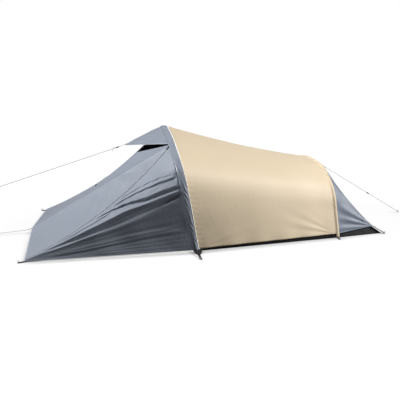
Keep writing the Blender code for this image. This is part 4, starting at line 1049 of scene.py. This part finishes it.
def make_inner_wall():
    """A star of straight lines from the door's edge to the wall's own outline."""
    radius = DOOR_RADIUS + ZIP_HALF_WIDTH + GAP
    edge = canopy_front(np.linspace(-1, 1, 400)) - WALL_ORIGIN
    outline = np.stack([edge[:, 1], edge @ FRONT.rise], -1)
    base_line = lerp(outline[-1], outline[0], np.linspace(0, 1, 200)[1:-1, None])
    outline = np.vstack([outline, base_line]) - DOOR_CENTRE
    turn = np.arctan2(outline[:, 1], outline[:, 0])
    order = np.argsort(turn)
    low = door_turn(SILL_RISE, radius)
    corners = [low, -math.pi - low]
    a = np.sort(np.concatenate([np.linspace(-math.pi, math.pi, 221)[:-1], corners]))
    reach = np.interp(a, turn[order], np.linalg.norm(outline[order], axis=1), period=2 * math.pi)
    downwards = np.minimum(np.sin(a), -1e-6)
    to_sill = np.where(np.sin(a) < -1e-6, (SILL_RISE - DOOR_CENTRE_HEIGHT) / downwards, 9.0)
    hole = np.minimum(radius, to_sill)
    share = np.linspace(0, 1, 26)[:, None]
    span = lerp(hole[None], reach[None], share)
    flat = DOOR_CENTRE + span[..., None] * np.stack([np.cos(a), np.sin(a)], -1)[None]
    held = between(share, 0, 0.25, 0.75, 1.0) * np.clip((reach - hole)[None] / 0.08, 0, 1)
    swell = waves(in_wall(flat, 0.0 * held), 61, INNER_WALL_SWELL_SIZE)
    grid = in_wall(flat, INNER_WALL_SWELL * held * swell)
    made = flat_cloth("inner_front_wall_cloth", flat, grid, True, "tent")
    beside = (reach - hole)[None] * np.minimum(share, 1 - share)
    set_values(made, edge=beside, run=np.tile(a * radius, len(share)))


def make_inner_door():
    """A fan of straight lines from the door's hinge up to its round edge."""
    radius = DOOR_RADIUS - ZIP_HALF_WIDTH - GAP
    low = door_turn(HINGE_RISE, radius)
    w = np.linspace(-0.9995, 0.9995, 121)
    turn = w * (0.5 * math.pi - low)
    arc = np.stack([np.sin(turn), np.cos(turn)], -1) * radius + DOOR_CENTRE
    foot = np.stack([w * radius * math.cos(low), np.full(w.shape, HINGE_RISE)], -1)
    share = np.linspace(0, 1, 70)[:, None]
    flat = lerp(foot[None], arc[None], share[..., None])
    held = between(share, 0, 0.2, 0.8, 1.0) * (1 - np.abs(w[None]) ** 4)
    plain = in_wall(flat, 0.0 * held)
    swell = INNER_DOOR_SWELL * waves(plain, 62, INNER_DOOR_SWELL_SIZE)
    crease = INNER_DOOR_CREASE * np.sin(9 * w[None] + 3 * share) * np.sin(math.pi * share)
    grid = in_wall(flat, held * (swell + crease))
    made = flat_cloth("inner_door_cloth", flat, grid, False, "inner_door_panel")
    tall = np.linalg.norm(arc - foot, axis=1)[None]
    set_values(made, edge=tall * np.minimum(share, 1 - share), run=np.repeat(share[:, 0], len(w)))


def door_line(turn):
    """The line of the door's zip at each angle about the door's centre, and its spoke from there."""
    turn = np.asarray(turn, float)[..., None]
    spoke = np.cos(turn) * Y_WAY + np.sin(turn) * FRONT.rise
    return WALL_PLACE + DOOR_CENTRE_HEIGHT * FRONT.rise + DOOR_RADIUS * spoke, spoke


def make_inner_zip():
    """The closed chain round the inner door, and its slider at one lower end."""
    low = door_turn(HINGE_RISE, DOOR_RADIUS) + INNER_ZIP_END_TURN
    path, spoke = door_line(np.linspace(low, math.pi - low, 400))
    over = np.broadcast_to(-FRONT.axial, path.shape)
    carried("inner_door_zip_coil", path, spoke, over, ZIP_PROFILE, BLACK_COIL, "tent", "black_plastic",
            ("inner_door_zip",))
    place, spoke = door_line(door_turn(SILL_RISE, DOOR_RADIUS) + INNER_SLIDER_TURN)
    place = place - (0.5 * (ZIP_THICKNESS + SLIDER_HEIGHT) + GAP) * FRONT.axial
    make_slider("inner_slider_metal", place, spoke, np.cross(FRONT.axial, spoke), -FRONT.axial,
                "inner_slider", "inner_door_zip_slider")


# A zip's section: tape that goes under the cloth on both sides of two rounded rows of coil
ZIP_PROFILE = np.array([(-9.0, -0.95), (9.0, -0.95), (9.0, -0.6), (4.6, -0.5), (2.4, 0.35),
                        (1.9, 0.9), (1.2, 1.25), (0.5, 1.2), (0.0, 0.95), (-0.5, 1.2), (-1.2, 1.25),
                        (-1.9, 0.9), (-2.4, 0.35), (-4.6, -0.5), (-9.0, -0.6)]) * 0.001

# A slider's shell and puller as stacked outlines: half width, half length, middle and height, in millimetres
SLIDER_SHELL = [(4.0, 6.0, -6, -3.4), (4.7, 6.9, -6, -3.0), (4.7, 6.9, -6, -2.2), (3.6, 6.2, -6, -1.9),
                (3.6, 6.2, -6, -1.0), (4.7, 6.9, -6, -0.7), (4.7, 6.9, -6, -0.1), (4.1, 6.3, -6, 0.3)]
SLIDER_PULLER = [(2.0, 8.4, 5.2, 1.3), (2.4, 8.8, 5.2, 1.5), (2.4, 8.8, 5.2, 2.3), (2.0, 8.4, 5.2, 2.5)]
BAIL_RADIUS = 0.0007

# The bail over the shell: its middle, half length, foot height and rise, in millimetres
BAIL_MIDDLE = -6
BAIL_HALF_LENGTH = 4.2
BAIL_FOOT = 0.2
BAIL_RISE = 2.3


def stacked(layers, square, count=28):
    """A lofted block: rounded outlines (half width, half length, middle, height) stacked one on another."""
    x, y = (np.sign(part) * np.abs(part) ** square for part in circle(count).T)
    return np.array([np.stack([wide * x, middle + long * y, np.full(count, high)], -1)
                     for wide, long, middle, high in layers]) * 0.001


def make_slider(name, place, across, along, over, body, node_name):
    """A zip slider: a waisted shell, a bail over it and a flat puller, each a stack of rounded outlines."""
    t = np.linspace(0, math.pi, 17)
    arch = np.stack([0 * t, BAIL_MIDDLE - BAIL_HALF_LENGTH * np.cos(t),
                     BAIL_FOOT + BAIL_RISE * np.sin(t) ** 0.7], -1) * 0.001
    _, side, up = directions(arch)
    wire = BAIL_RADIUS * circle(12)
    bail = arch[:, None] + wire[None, :, :1] * side[:, None] + wire[None, :, 1:] * up[:, None]
    points, faces, start = [], [], 0
    for rings in (stacked(SLIDER_SHELL, 0.72), bail, stacked(SLIDER_PULLER, 0.5)):
        rows, cols = rings.shape[:2]
        points.append(rings.reshape(-1, 3))
        faces += (quads(rows, cols, True) + start).tolist()
        first, last = range(start, start + cols), range(start + (rows - 1) * cols, start + rows * cols)
        faces += [list(first)[::-1], list(last)]
        start += rows * cols
    local = np.vstack(points)
    grid = place + local[:, :1] * across + local[:, 1:2] * along + local[:, 2:] * over
    made = put_mesh(name, grid, np.empty((0, 4), int), local[:, :2], PLASTIC, faces)
    outwards(made)
    made.data.set_sharp_from_angle(angle=math.radians(40))
    placed(made, body, "black_plastic", (node_name,))


def make_zip():
    """The closed chain along the ridge, and the slider at its top with a limp pull cord and its knot."""
    p = np.linspace(POINT_SHARE, 1 - ZIP_END_SHARE, 500)
    carried("vestibule_zip_coil", RIDGE.at(p), RIDGE.across(p), RIDGE.over(p), ZIP_PROFILE, COIL, "tent",
            "grey_zip", ("vestibule_zip",))
    rest = SLIDER_REST_SHARE
    across, along, over = RIDGE.across(rest), RIDGE.tangent(rest), RIDGE.over(rest)
    place = RIDGE.at(rest, 0.0, 0.5 * ZIP_THICKNESS + GAP + 0.0005 + 0.5 * SLIDER_HEIGHT)
    make_slider("vestibule_slider_metal", place, across, -along, over, "vestibule_slider",
                "vestibule_zip_slider")
    start = place + (0.5 * SLIDER_HEIGHT + GAP + PULL_CORD_RADIUS) * over - 0.004 * along
    t = np.linspace(0, 1, 31)[:, None]
    drop = PULL_CORD_DROP * t * unit(-across - 0.15 * along)
    hang = start + drop + PULL_CORD_BELLY * np.sin(0.5 * math.pi * t) * over
    made = braid("zip_pull_cord", hang, PULL_CORD_RADIUS, PALE_BRAID, "vestibule_slider", "pale_cord",
                 ("vestibule_zip_pull_cord",), 8)
    end = tie("zip_pull_knot", hang[-1], hang[-1] - hang[-2], PULL_KNOT_SIZE, PULL_CORD_RADIUS, PALE_BRAID,
              "vestibule_slider", "pale_cord")


def tie(name, place, way, size, radius, material, body, slot):
    """A knot: a trefoil's line, (sin t + 2 sin 2t, cos t - 2 cos 2t, -1.2 sin 3t) / 3, as a cord."""
    t = np.linspace(0, 2 * math.pi, 73)
    x, y = np.sin(t) + 2 * np.sin(2 * t), np.cos(t) - 2 * np.cos(2 * t)
    local = np.stack([x, y, -KNOT_DEPTH * np.sin(3 * t)], -1) / 3
    z = unit(way)
    x = square_to(z)
    path = place + size * (local[:, :1] * x + local[:, 1:2] * np.cross(z, x) + local[:, 2:] * z)
    return braid(name, path, radius, material, body, slot, (), 8)


def hitch(name, stake, height, radius, material, slot):
    """Two turns of cord round a peg's shank, climbing by one cord for each turn."""
    a = np.linspace(0, 4 * math.pi, 60)
    wide = PEG_WIRE + radius
    x, y = stake[0] + wide * np.cos(a), stake[1] + wide * np.sin(a)
    turns = np.stack([x, y, height + radius * a / math.pi], -1)
    return braid(name, turns, radius, material, "tent", slot, (), 8)


# A strap's fine ripples along its free length and the hollow across it
STRAP_RIPPLE = 0.0005
STRAP_RIPPLE_LENGTH = 0.009
STRAP_HOLLOW = 0.0004


def strap(name, start, end, material, node_name, eye=True):
    """Flat webbing with a round end, hollowed a little across its width: a star of lines from the eye's edge
    to the outline, or rows across where it has no eye."""
    length, half = float(np.linalg.norm(end - start)), 0.5 * STRAP_WIDTH
    if eye:
        x = np.linspace(0, length, max(12, int(length / 0.004)))
        a = np.linspace(-0.5 * math.pi, 0.5 * math.pi, 25)[1:-1]
        tip = np.stack([length + half * np.cos(a), half * np.sin(a)], -1)
        y = np.linspace(half, -half, 9)[1:-1]
        outline = np.vstack([np.stack([x, np.full(x.shape, -half)], -1), tip,
                             np.stack([x[::-1], np.full(x.shape, half)], -1), np.stack([0 * y, y], -1)])
        hole = STRAP_EYE * unit(outline - (length, 0)) + (length, 0)
        flat = lerp(hole[None], outline[None], (np.linspace(0, 1, 17) ** 1.3)[:, None, None])
    else:
        x = np.linspace(0, length + 0.995 * half, 60)[:, None]
        wide = np.sqrt(np.maximum(half ** 2 - np.maximum(x - length, 0) ** 2, 0))
        flat = np.stack(np.broadcast_arrays(x, wide * np.linspace(-1, 1, 15)[None]), -1)
    way = unit(end - start)
    top = unit(UP - (UP @ way) * way)
    along, beside = flat[..., 0], flat[..., 1]
    free = np.sin(math.pi * np.clip(along / length, 0, 1)) ** 2
    ripple = STRAP_RIPPLE * free * np.sin(along / STRAP_RIPPLE_LENGTH)
    lift = ripple - STRAP_HOLLOW * free * (beside / half) ** 2
    grid = start + flat[..., :1] * way + flat[..., 1:] * np.cross(top, way) + lift[..., None] * top
    made = put_mesh(name, grid, quads(*grid.shape[:2], eye), flat, material)
    set_values(made, edge=half - np.abs(beside), run=along)
    thicken(made, WEB)
    placed(made, "tent", "black_webbing", (node_name,))


def cord_end(stake, way):
    """Where a cord that comes in this way meets the peg's shank."""
    flat, steep = math.hypot(way[0], way[1]), abs(way[2])
    return stake - (PEG_WIRE + GAP + CORD_RADIUS * steep) / flat * way


def sagging(start, end, sag, count=61):
    """A line between two places less a shallow parabola."""
    t = np.linspace(0, 1, count)[:, None]
    return lerp(start, end, t) - sag * bow(t) * UP


def taut(name, start, stake, material, slot, node_name, knot_name):
    """A taut cord from a loop to a peg, with turns round the peg."""
    end = cord_end(stake, unit(stake - start))
    path = sagging(start, end, TAUT_SAG)
    made = braid(name, path, CORD_RADIUS, material, "tent", slot, (node_name,))
    shank = end + (end - start) / np.linalg.norm((end - start)[:2]) * (PEG_WIRE + GAP)
    end_turns = hitch(knot_name, shank, end[2] - CORD_RADIUS, CORD_RADIUS, material, slot)


# Guylines: where a cord leaves its strap, how high a strap's lap lies on the cloth, and where a peg takes it
STRAP_MOUTH = 0.5 * STRAP_WIDTH + GAP
LAP_LIFT = 0.5 * (CLOTH + WEB) + 2 * GAP
CORD_PEG_HEIGHT = PEG_HEIGHT - 2 * PEG_HOOK
FRONT_GUY_WAY = unit((-1.0, 0.0, -0.3067))
FRONT_GUY_LENGTH = 1.36
TIED_LOOP_RADIUS = 0.0075
HOOD_LOOP_LENGTH = 0.022
HOOD_LAP_LENGTH = 0.035
REAR_LOOP_END = np.array([0.046, 0.0, -0.040])
REAR_LAP_START = 0.004
REAR_PEG_REACH = 1.072
NOSE_LOOP_LENGTH = 0.016
NOSE_PEG_REACH = 0.39

# The runner's tail cord: where it starts and how far it runs along the guyline, its lift, drop and curl
TAIL_CORD_START = 0.043
TAIL_CORD_RUN = 0.042
TAIL_CORD_LIFT = 0.0052
TAIL_CORD_DROP = 0.030
TAIL_CORD_CURL = 0.012


def make_front_guyline():
    """The front cord from the hood's webbing loop to its tied loop, and the tail cord of its runner."""
    way = FRONT_GUY_WAY
    loop_end = HOOD_TIP + HOOD_LOOP_LENGTH * way
    crest = unit(FRONT.far_edge(0.0) - HOOD_TIP)
    lap = HOOD_TIP + HOOD_LAP_LENGTH * crest + LAP_LIFT * np.cross(crest, Y_WAY)
    strap("hood_tip_webbing", lap, loop_end, PALE_WEBBING, "hood_tip_loop", False)
    start = loop_end + STRAP_MOUTH * way
    end = start + FRONT_GUY_LENGTH * way
    a = np.linspace(0, 1.8 * math.pi, 40)[1:, None]
    loop = end + TIED_LOOP_RADIUS * (np.sin(a) * way + (1 - np.cos(a)) * np.cross(way, Y_WAY))
    path = np.vstack([sagging(start, end, TAUT_SAG), loop])
    made = braid("front_guyline_cord", path, CORD_RADIUS, GUY_BRAID, "tent", "guy_cord", ("guyline_front",))
    end_knot = tie("front_guyline_knot", end, way, GUY_KNOT_SIZE, CORD_RADIUS, GUY_BRAID, "tent", "guy_cord")
    t = np.linspace(0, 1, 25)[:, None]
    high = TAIL_CORD_LIFT - TAIL_CORD_DROP * t ** 2 + TAIL_CORD_CURL * np.sin(3 * t)
    path = start + (TAIL_CORD_START + TAIL_CORD_RUN * t) * way + high * UP
    made = braid("runner_tail_cord", path, THIN_CORD_RADIUS, GUY_BRAID, "front_runner", "guy_cord", (), 8)
    end_knot = tie("runner_tail_knot", path[-1], path[-1] - path[-2], TAIL_KNOT_SIZE, THIN_CORD_RADIUS,
                   GUY_BRAID, "front_runner", "guy_cord")


def make_pegged_guylines():
    """The rear cord and the nose cord, each from its webbing loop to its peg."""
    top = REAR.far_edge(0.0)
    stake = np.array([X_REAR + REAR_PEG_REACH, 0.0, CORD_PEG_HEIGHT])
    start = top + REAR_LOOP_END
    slope = unit(0.5 * (TAIL_CORNER + TAIL_CORNER * MIRROR) - top)
    lap = top + REAR_LAP_START * slope + LAP_LIFT * np.cross(slope, Y_WAY)
    strap("rear_guy_webbing", lap, start - (STRAP_MOUTH + 0.25 * CORD_RADIUS) * unit(start - lap), WEBBING,
          "rear_guy_loop", False)
    taut("rear_guyline_cord", start, stake, GUY_BRAID, "guy_cord", "guyline_rear", "rear_guyline_hitch")
    nose_tip = NOSE - NOSE_LOOP_LENGTH * X_WAY
    lap = seam(POINT_SHARE) - 2 * GAP * unit(seam(0.05) - seam(0.02))
    strap("nose_webbing", lap, nose_tip, PALE_WEBBING, "nose_loop", False)
    stake = np.array([NOSE[0] - NOSE_PEG_REACH, 0.0, CORD_PEG_HEIGHT])
    start = nose_tip + (STRAP_MOUTH + 0.5 * CORD_RADIUS) * unit(nose_tip - lap)
    taut("nose_guy_cord", start, stake, PALE_BRAID, "pale_cord", "nose_cord", "nose_hitch")


# Straps and cords on the ground: how far each strap lies inside and outside its corner or foot
CORNER_LOOP_WAY = unit((-0.97, -0.24, 0.0))
CORNER_LOOP_INSIDE = 0.048
CORNER_LOOP_OUTSIDE = 0.020
FRONT_STRAP_INSIDE = 0.02
FRONT_STRAP_OUTSIDE = 0.185
REAR_TAB_INSIDE = 0.012
REAR_TAB_OUTSIDE = 0.03
TAIL_STRAP_REACH = (0.095, -0.065)
TAIL_STRAP_END_HEIGHT = 0.008
HEM_CORD_START = (-0.078, -0.790, 0.012)
HEM_CORD_END = (-0.0045, -0.976, 0.0085)
HEM_CORD_SAG = 0.004


def make_ground_points():
    """The straps at the vestibule corners, the arch feet and the tail, and pale cords at the front feet."""
    front, rear = FRONT.base_x, REAR.base_x
    for side, flip in SIDES:
        way = CORNER_LOOP_WAY * flip
        start = CORNER * flip - CORNER_LOOP_INSIDE * way - (0.5 * WEB + 2 * GAP) * UP
        end = CORNER * flip + CORNER_LOOP_OUTSIDE * way
        end[2] = STRAP_LIFT
        strap("corner_webbing_" + side, start, end, WEBBING, "corner_loop_" + side)
        foot = np.array([front, FRONT_STRAP_INSIDE - FRONT_HALF_WIDTH, 0.5 * WEB]) * flip
        end = np.array([front, -FRONT_STRAP_OUTSIDE - FRONT_HALF_WIDTH, STRAP_LIFT]) * flip
        strap("front_foot_webbing_" + side, foot, end, WEBBING, "front_foot_strap_" + side)
        path = sagging(WALL_ORIGIN + HEM_CORD_START, WALL_ORIGIN + HEM_CORD_END, HEM_CORD_SAG, 31) * flip
        made = braid("hem_pull_cord_" + side, path, HEM_CORD_RADIUS, PALE_BRAID, "tent", "pale_cord", (), 8)
        foot = np.array([rear, REAR_TAB_INSIDE - REAR_HALF_WIDTH, 0.5 * WEB]) * flip
        end = np.array([rear, -REAR_TAB_OUTSIDE - REAR_HALF_WIDTH, 0.5 * WEB]) * flip
        strap("rear_foot_webbing_" + side, foot, end, WEBBING, "rear_foot_tab_" + side, False)
        end = np.array([*(TAIL_CORNER[:2] + TAIL_STRAP_REACH), TAIL_STRAP_END_HEIGHT])
        start = (TAIL_CORNER + 2 * GAP * unit(end - TAIL_CORNER)) * flip
        strap("tail_webbing_" + side, start, end * flip, WEBBING, "tail_strap_" + side)


# A gusset at the hem and at the strap: half width, distance from the middle of the tent and height
GUSSET_HALF_WIDTHS = (0.045, 0.0125)
GUSSET_REACH = (0.786, 0.872)
GUSSET_HEIGHTS = (0.024, 0.0050)
GUSSET_WAVE = 0.004


def make_foot_gussets():
    """A doubled webbing patch over each front foot: rows across that narrow from the hem to the strap."""
    count = 25
    t = np.linspace(0, 1, count)[:, None]
    w = np.linspace(-1, 1, count)[None]
    half = lerp(*GUSSET_HALF_WIDTHS, t ** 1.5)
    out = lerp(*GUSSET_REACH, t)
    high = lerp(*GUSSET_HEIGHTS, 1 - (1 - t) ** 1.6)
    high = high + GUSSET_WAVE * np.sin(2.5 * math.pi * w) * (1 - t) * t
    for side, flip in SIDES:
        grid = np.stack(np.broadcast_arrays(FRONT.base_x + half * w, -out, high), -1) * flip
        flat = np.stack(np.broadcast_arrays(half * w, out), -1)
        made = put_mesh("front_foot_gusset_" + side, grid, quads(count, count), flat, WEBBING)
        set_values(made, edge=half * (1 - np.abs(w)), run=np.repeat(out[:, 0] - out[0, 0], count))
        thicken(made, WEB)
        placed(made, "tent", "black_webbing")


# Hangers: their share of the way down from an arch's top to the floor's rim, how far behind the inner tent's
# front edge the front ones meet it, and how far a sleeve reaches in from its pole
HANGER_SHARE = 5 / 12
HANGER_SETBACK = 0.03
SLEEVE_DEPTH = 0.0018


def make_hangers():
    """Four short cords from the sleeves down to the inner canopy."""
    for arch, title, setback in ((FRONT, "front", INNER_FRONT + HANGER_SETBACK), (REAR, "rear", 0.0)):
        for side, way in (("near", 1), ("far", -1)):
            u = way * HANGER_SHARE * arch.u_at_height(FLOOR_WALL)
            top = arch.at(u) - (POLE_RADIUS + SLEEVE_DEPTH + GAP) * arch.outward(u)
            low = arch.at(u, setback, -INNER_DROP + 0.5 * CLOTH + 2 * GAP)
            name = "%s_hanger_cord_%s" % (title, side)
            braid(name, sagging(top, low, 0.0, 13), CORD_RADIUS, PALE_BRAID, "tent", "pale_cord",
                  ("hanger_%s_%s" % (title, side),))


# Sewn edges as ellipses carried along a line: each edge's half width and half height
FRONT_PIPING = (0.0052, 0.0050)
REAR_PIPING_SIZE = (0.0022, 0.0016)
SEAM_TAPE = (0.0022, 0.0003)
SEAM_FOLD = (0.0030, 0.0013)

# How far the fold lies over its seam, and how far the piping and the tapes stop short of an arch's feet
SEAM_FOLD_LIFT = 0.0004
PIPING_SHORT = 0.018
TAPE_SHORT = 0.030


def along_arch(name, arch, line, short, size, material, slot):
    """An edge carried along one of an arch's lines, short of both feet."""
    span = 1.0 - short / (0.5 * arch.length)
    u = np.linspace(-span, span, 600)
    path = line(u)
    carried(name, path, np.broadcast_to(arch.axial, path.shape), arch.outward(u), circle(12) * size, material,
            "tent", slot)


def make_bindings():
    """Piping where the body meets its sleeves, tape over their other seams, and the centre seam's fold."""
    along_arch("front_piping", FRONT, FRONT.body_edge, PIPING_SHORT, FRONT_PIPING, PIPING, "sand_cloth")
    along_arch("rear_piping", REAR, REAR.body_edge, PIPING_SHORT, REAR_PIPING_SIZE, REAR_PIPING, "sand_cloth")
    along_arch("front_seam_tape", FRONT, FRONT.tape_line, TAPE_SHORT, SEAM_TAPE, SLEEVE_GREY, "grey_cloth")
    along_arch("rear_seam_tape", REAR, REAR.tape_line, TAPE_SHORT, SEAM_TAPE, SHADED_TAIL_GREY, "grey_cloth")
    path = seam(np.linspace(POINT_SHARE, 0.995, 200))
    way = unit(np.gradient(path, axis=0))
    up = unit(UP - (way @ UP)[:, None] * way)
    carried("centre_seam_fold", path + SEAM_FOLD_LIFT * up, np.cross(way, up), up, circle(12) * SEAM_FOLD,
            SEAM_GREY, "tent", "grey_cloth")


make_camera()
make_body()
make_vestibule()
make_hood()
make_tail()
make_sleeve("front_pole_sleeve", FRONT, SLEEVE_GREY, "grey_cloth", FRONT_WRINKLE)
make_sleeve("rear_pole_sleeve", REAR, SAND, "sand_cloth", REAR_WRINKLE)
make_floor()
make_inner()
make_inner_wall()
make_inner_door()
make_inner_zip()
make_zip()
make_front_guyline()
make_pegged_guylines()
make_ground_points()
make_foot_gussets()
make_hangers()
make_bindings()

SHOWN = {"tube_metal": TUBE, "peg_metal": PEG, "black_plastic": PLASTIC, "black_webbing": WEBBING,
         "guy_cord": GUY_BRAID, "pale_cord": PALE_BRAID, "inner_cloth": INNER, "grey_cloth": GREY,
         "sand_cloth": SAND, "black_cloth": BLACK, "grey_zip": COIL}
slots = {part["node"]: part["material_slot"] for part in frame["record"]["subparts"]}
for title, solid in frame["nodes"].items():
    if title in slots:
        solid.data.materials.clear()
        solid.data.materials.append(SHOWN[slots[title]])

# Light: how strong the world's light is, then each sun's direction towards it, strength and spread
WORLD_LIGHT = 0.05
SUNS = (("sun_from_foot_end", (0.86, -0.14, 0.47), 3.8, 0.35),
        ("sun_from_head_end", (-0.93, 0.12, 0.36), 4.7, 0.35))
LAMP_PLACE = np.array([0.55, -1.90, 0.75])
LAMP_AIM = np.array([0.20, -0.62, 0.30])
LAMP_SIZE = 0.6
LAMP_POWER = 8.0

# The stage floor: its half side, its depth below the ground, its grey and how its painted contact shadow
# looks
STAGE_HALF = 40
STAGE_DEPTH = 0.0005
STAGE_GREY = (0.08, 0.08, 0.08, 1.0)
WHITE = (1, 1, 1, 1)
PAINTED_SHADOW_REACH = 0.09
PAINTED_SHADOW_POWER = 1.6
FLOOR_GLOW = 0.93


def bare_tree(owner):
    owner.use_nodes = True
    owner.node_tree.nodes.clear()
    return owner.node_tree


def stage_floor():
    """A wide plain floor that shows white to the camera and keeps the lamps' shadows, with a painted contact
    shadow: its glow is darkened by ambient occlusion where things come near it.
    """
    mesh = bpy.data.meshes.new("studio_floor")
    signs = ((-1, -1), (1, -1), (1, 1), (-1, 1))
    mesh.from_pydata([(x * STAGE_HALF, y * STAGE_HALF, -STAGE_DEPTH) for x, y in signs], [], [(0, 1, 2, 3)])
    made = bpy.data.materials.new("studio_floor_white")
    tree = bare_tree(made)
    seen = node(tree, "LightPath").outputs["Is Camera Ray"]
    diffuse = node(tree, "BsdfDiffuse", {"Color": STAGE_GREY})
    # Painted shadow: the camera's white glow is darkened by ambient occlusion close to the tent
    near = node(tree, "AmbientOcclusion", {"Distance": PAINTED_SHADOW_REACH}).outputs["AO"]
    painted_contact_shadow = maths(tree, "MULTIPLY", maths(tree, "POWER", near, PAINTED_SHADOW_POWER), FLOOR_GLOW)
    glow = node(tree, "Emission", {"Color": WHITE, "Strength": maths(tree, "MULTIPLY", seen, painted_contact_shadow)})
    both = node(tree, "AddShader", {0: diffuse.outputs[0], 1: glow.outputs[0]})
    node(tree, "OutputMaterial", {"Surface": both.outputs[0]})
    mesh.materials.append(made)
    linked("studio_floor", mesh)


def pale_world():
    """A white world to the camera, and a dim one to the tent."""
    world = bpy.data.worlds.new("studio_world")
    tree = bare_tree(world)
    seen = node(tree, "LightPath").outputs["Is Camera Ray"]
    back = node(tree, "Background", {"Color": WHITE,
                                     "Strength": scaled(tree, seen, 1.0 - WORLD_LIGHT, WORLD_LIGHT)})
    node(tree, "OutputWorld", {"Surface": back.outputs[0]})
    bpy.context.scene.world = world


def lamp(name, kind, power, towards, **settings):
    """A lamp whose light comes from this direction."""
    data = bpy.data.lights.new(name, kind)
    data.energy = power
    for key, value in settings.items():
        setattr(data, key, value)
    made = linked(name, data)
    made.rotation_euler = Vector(towards).to_track_quat("Z", "Y").to_euler()
    return made


stage_floor()
pale_world()
for title, way, power, spread_angle in SUNS:
    lamp(title, "SUN", power, way, angle=spread_angle)
foot_end = lamp("foot_end_lamp", "AREA", LAMP_POWER, LAMP_PLACE - LAMP_AIM, shape="DISK", size=LAMP_SIZE)
foot_end.location = LAMP_PLACE
foot_end.visible_camera = False
bpy.context.scene.view_settings.view_transform = "Standard"
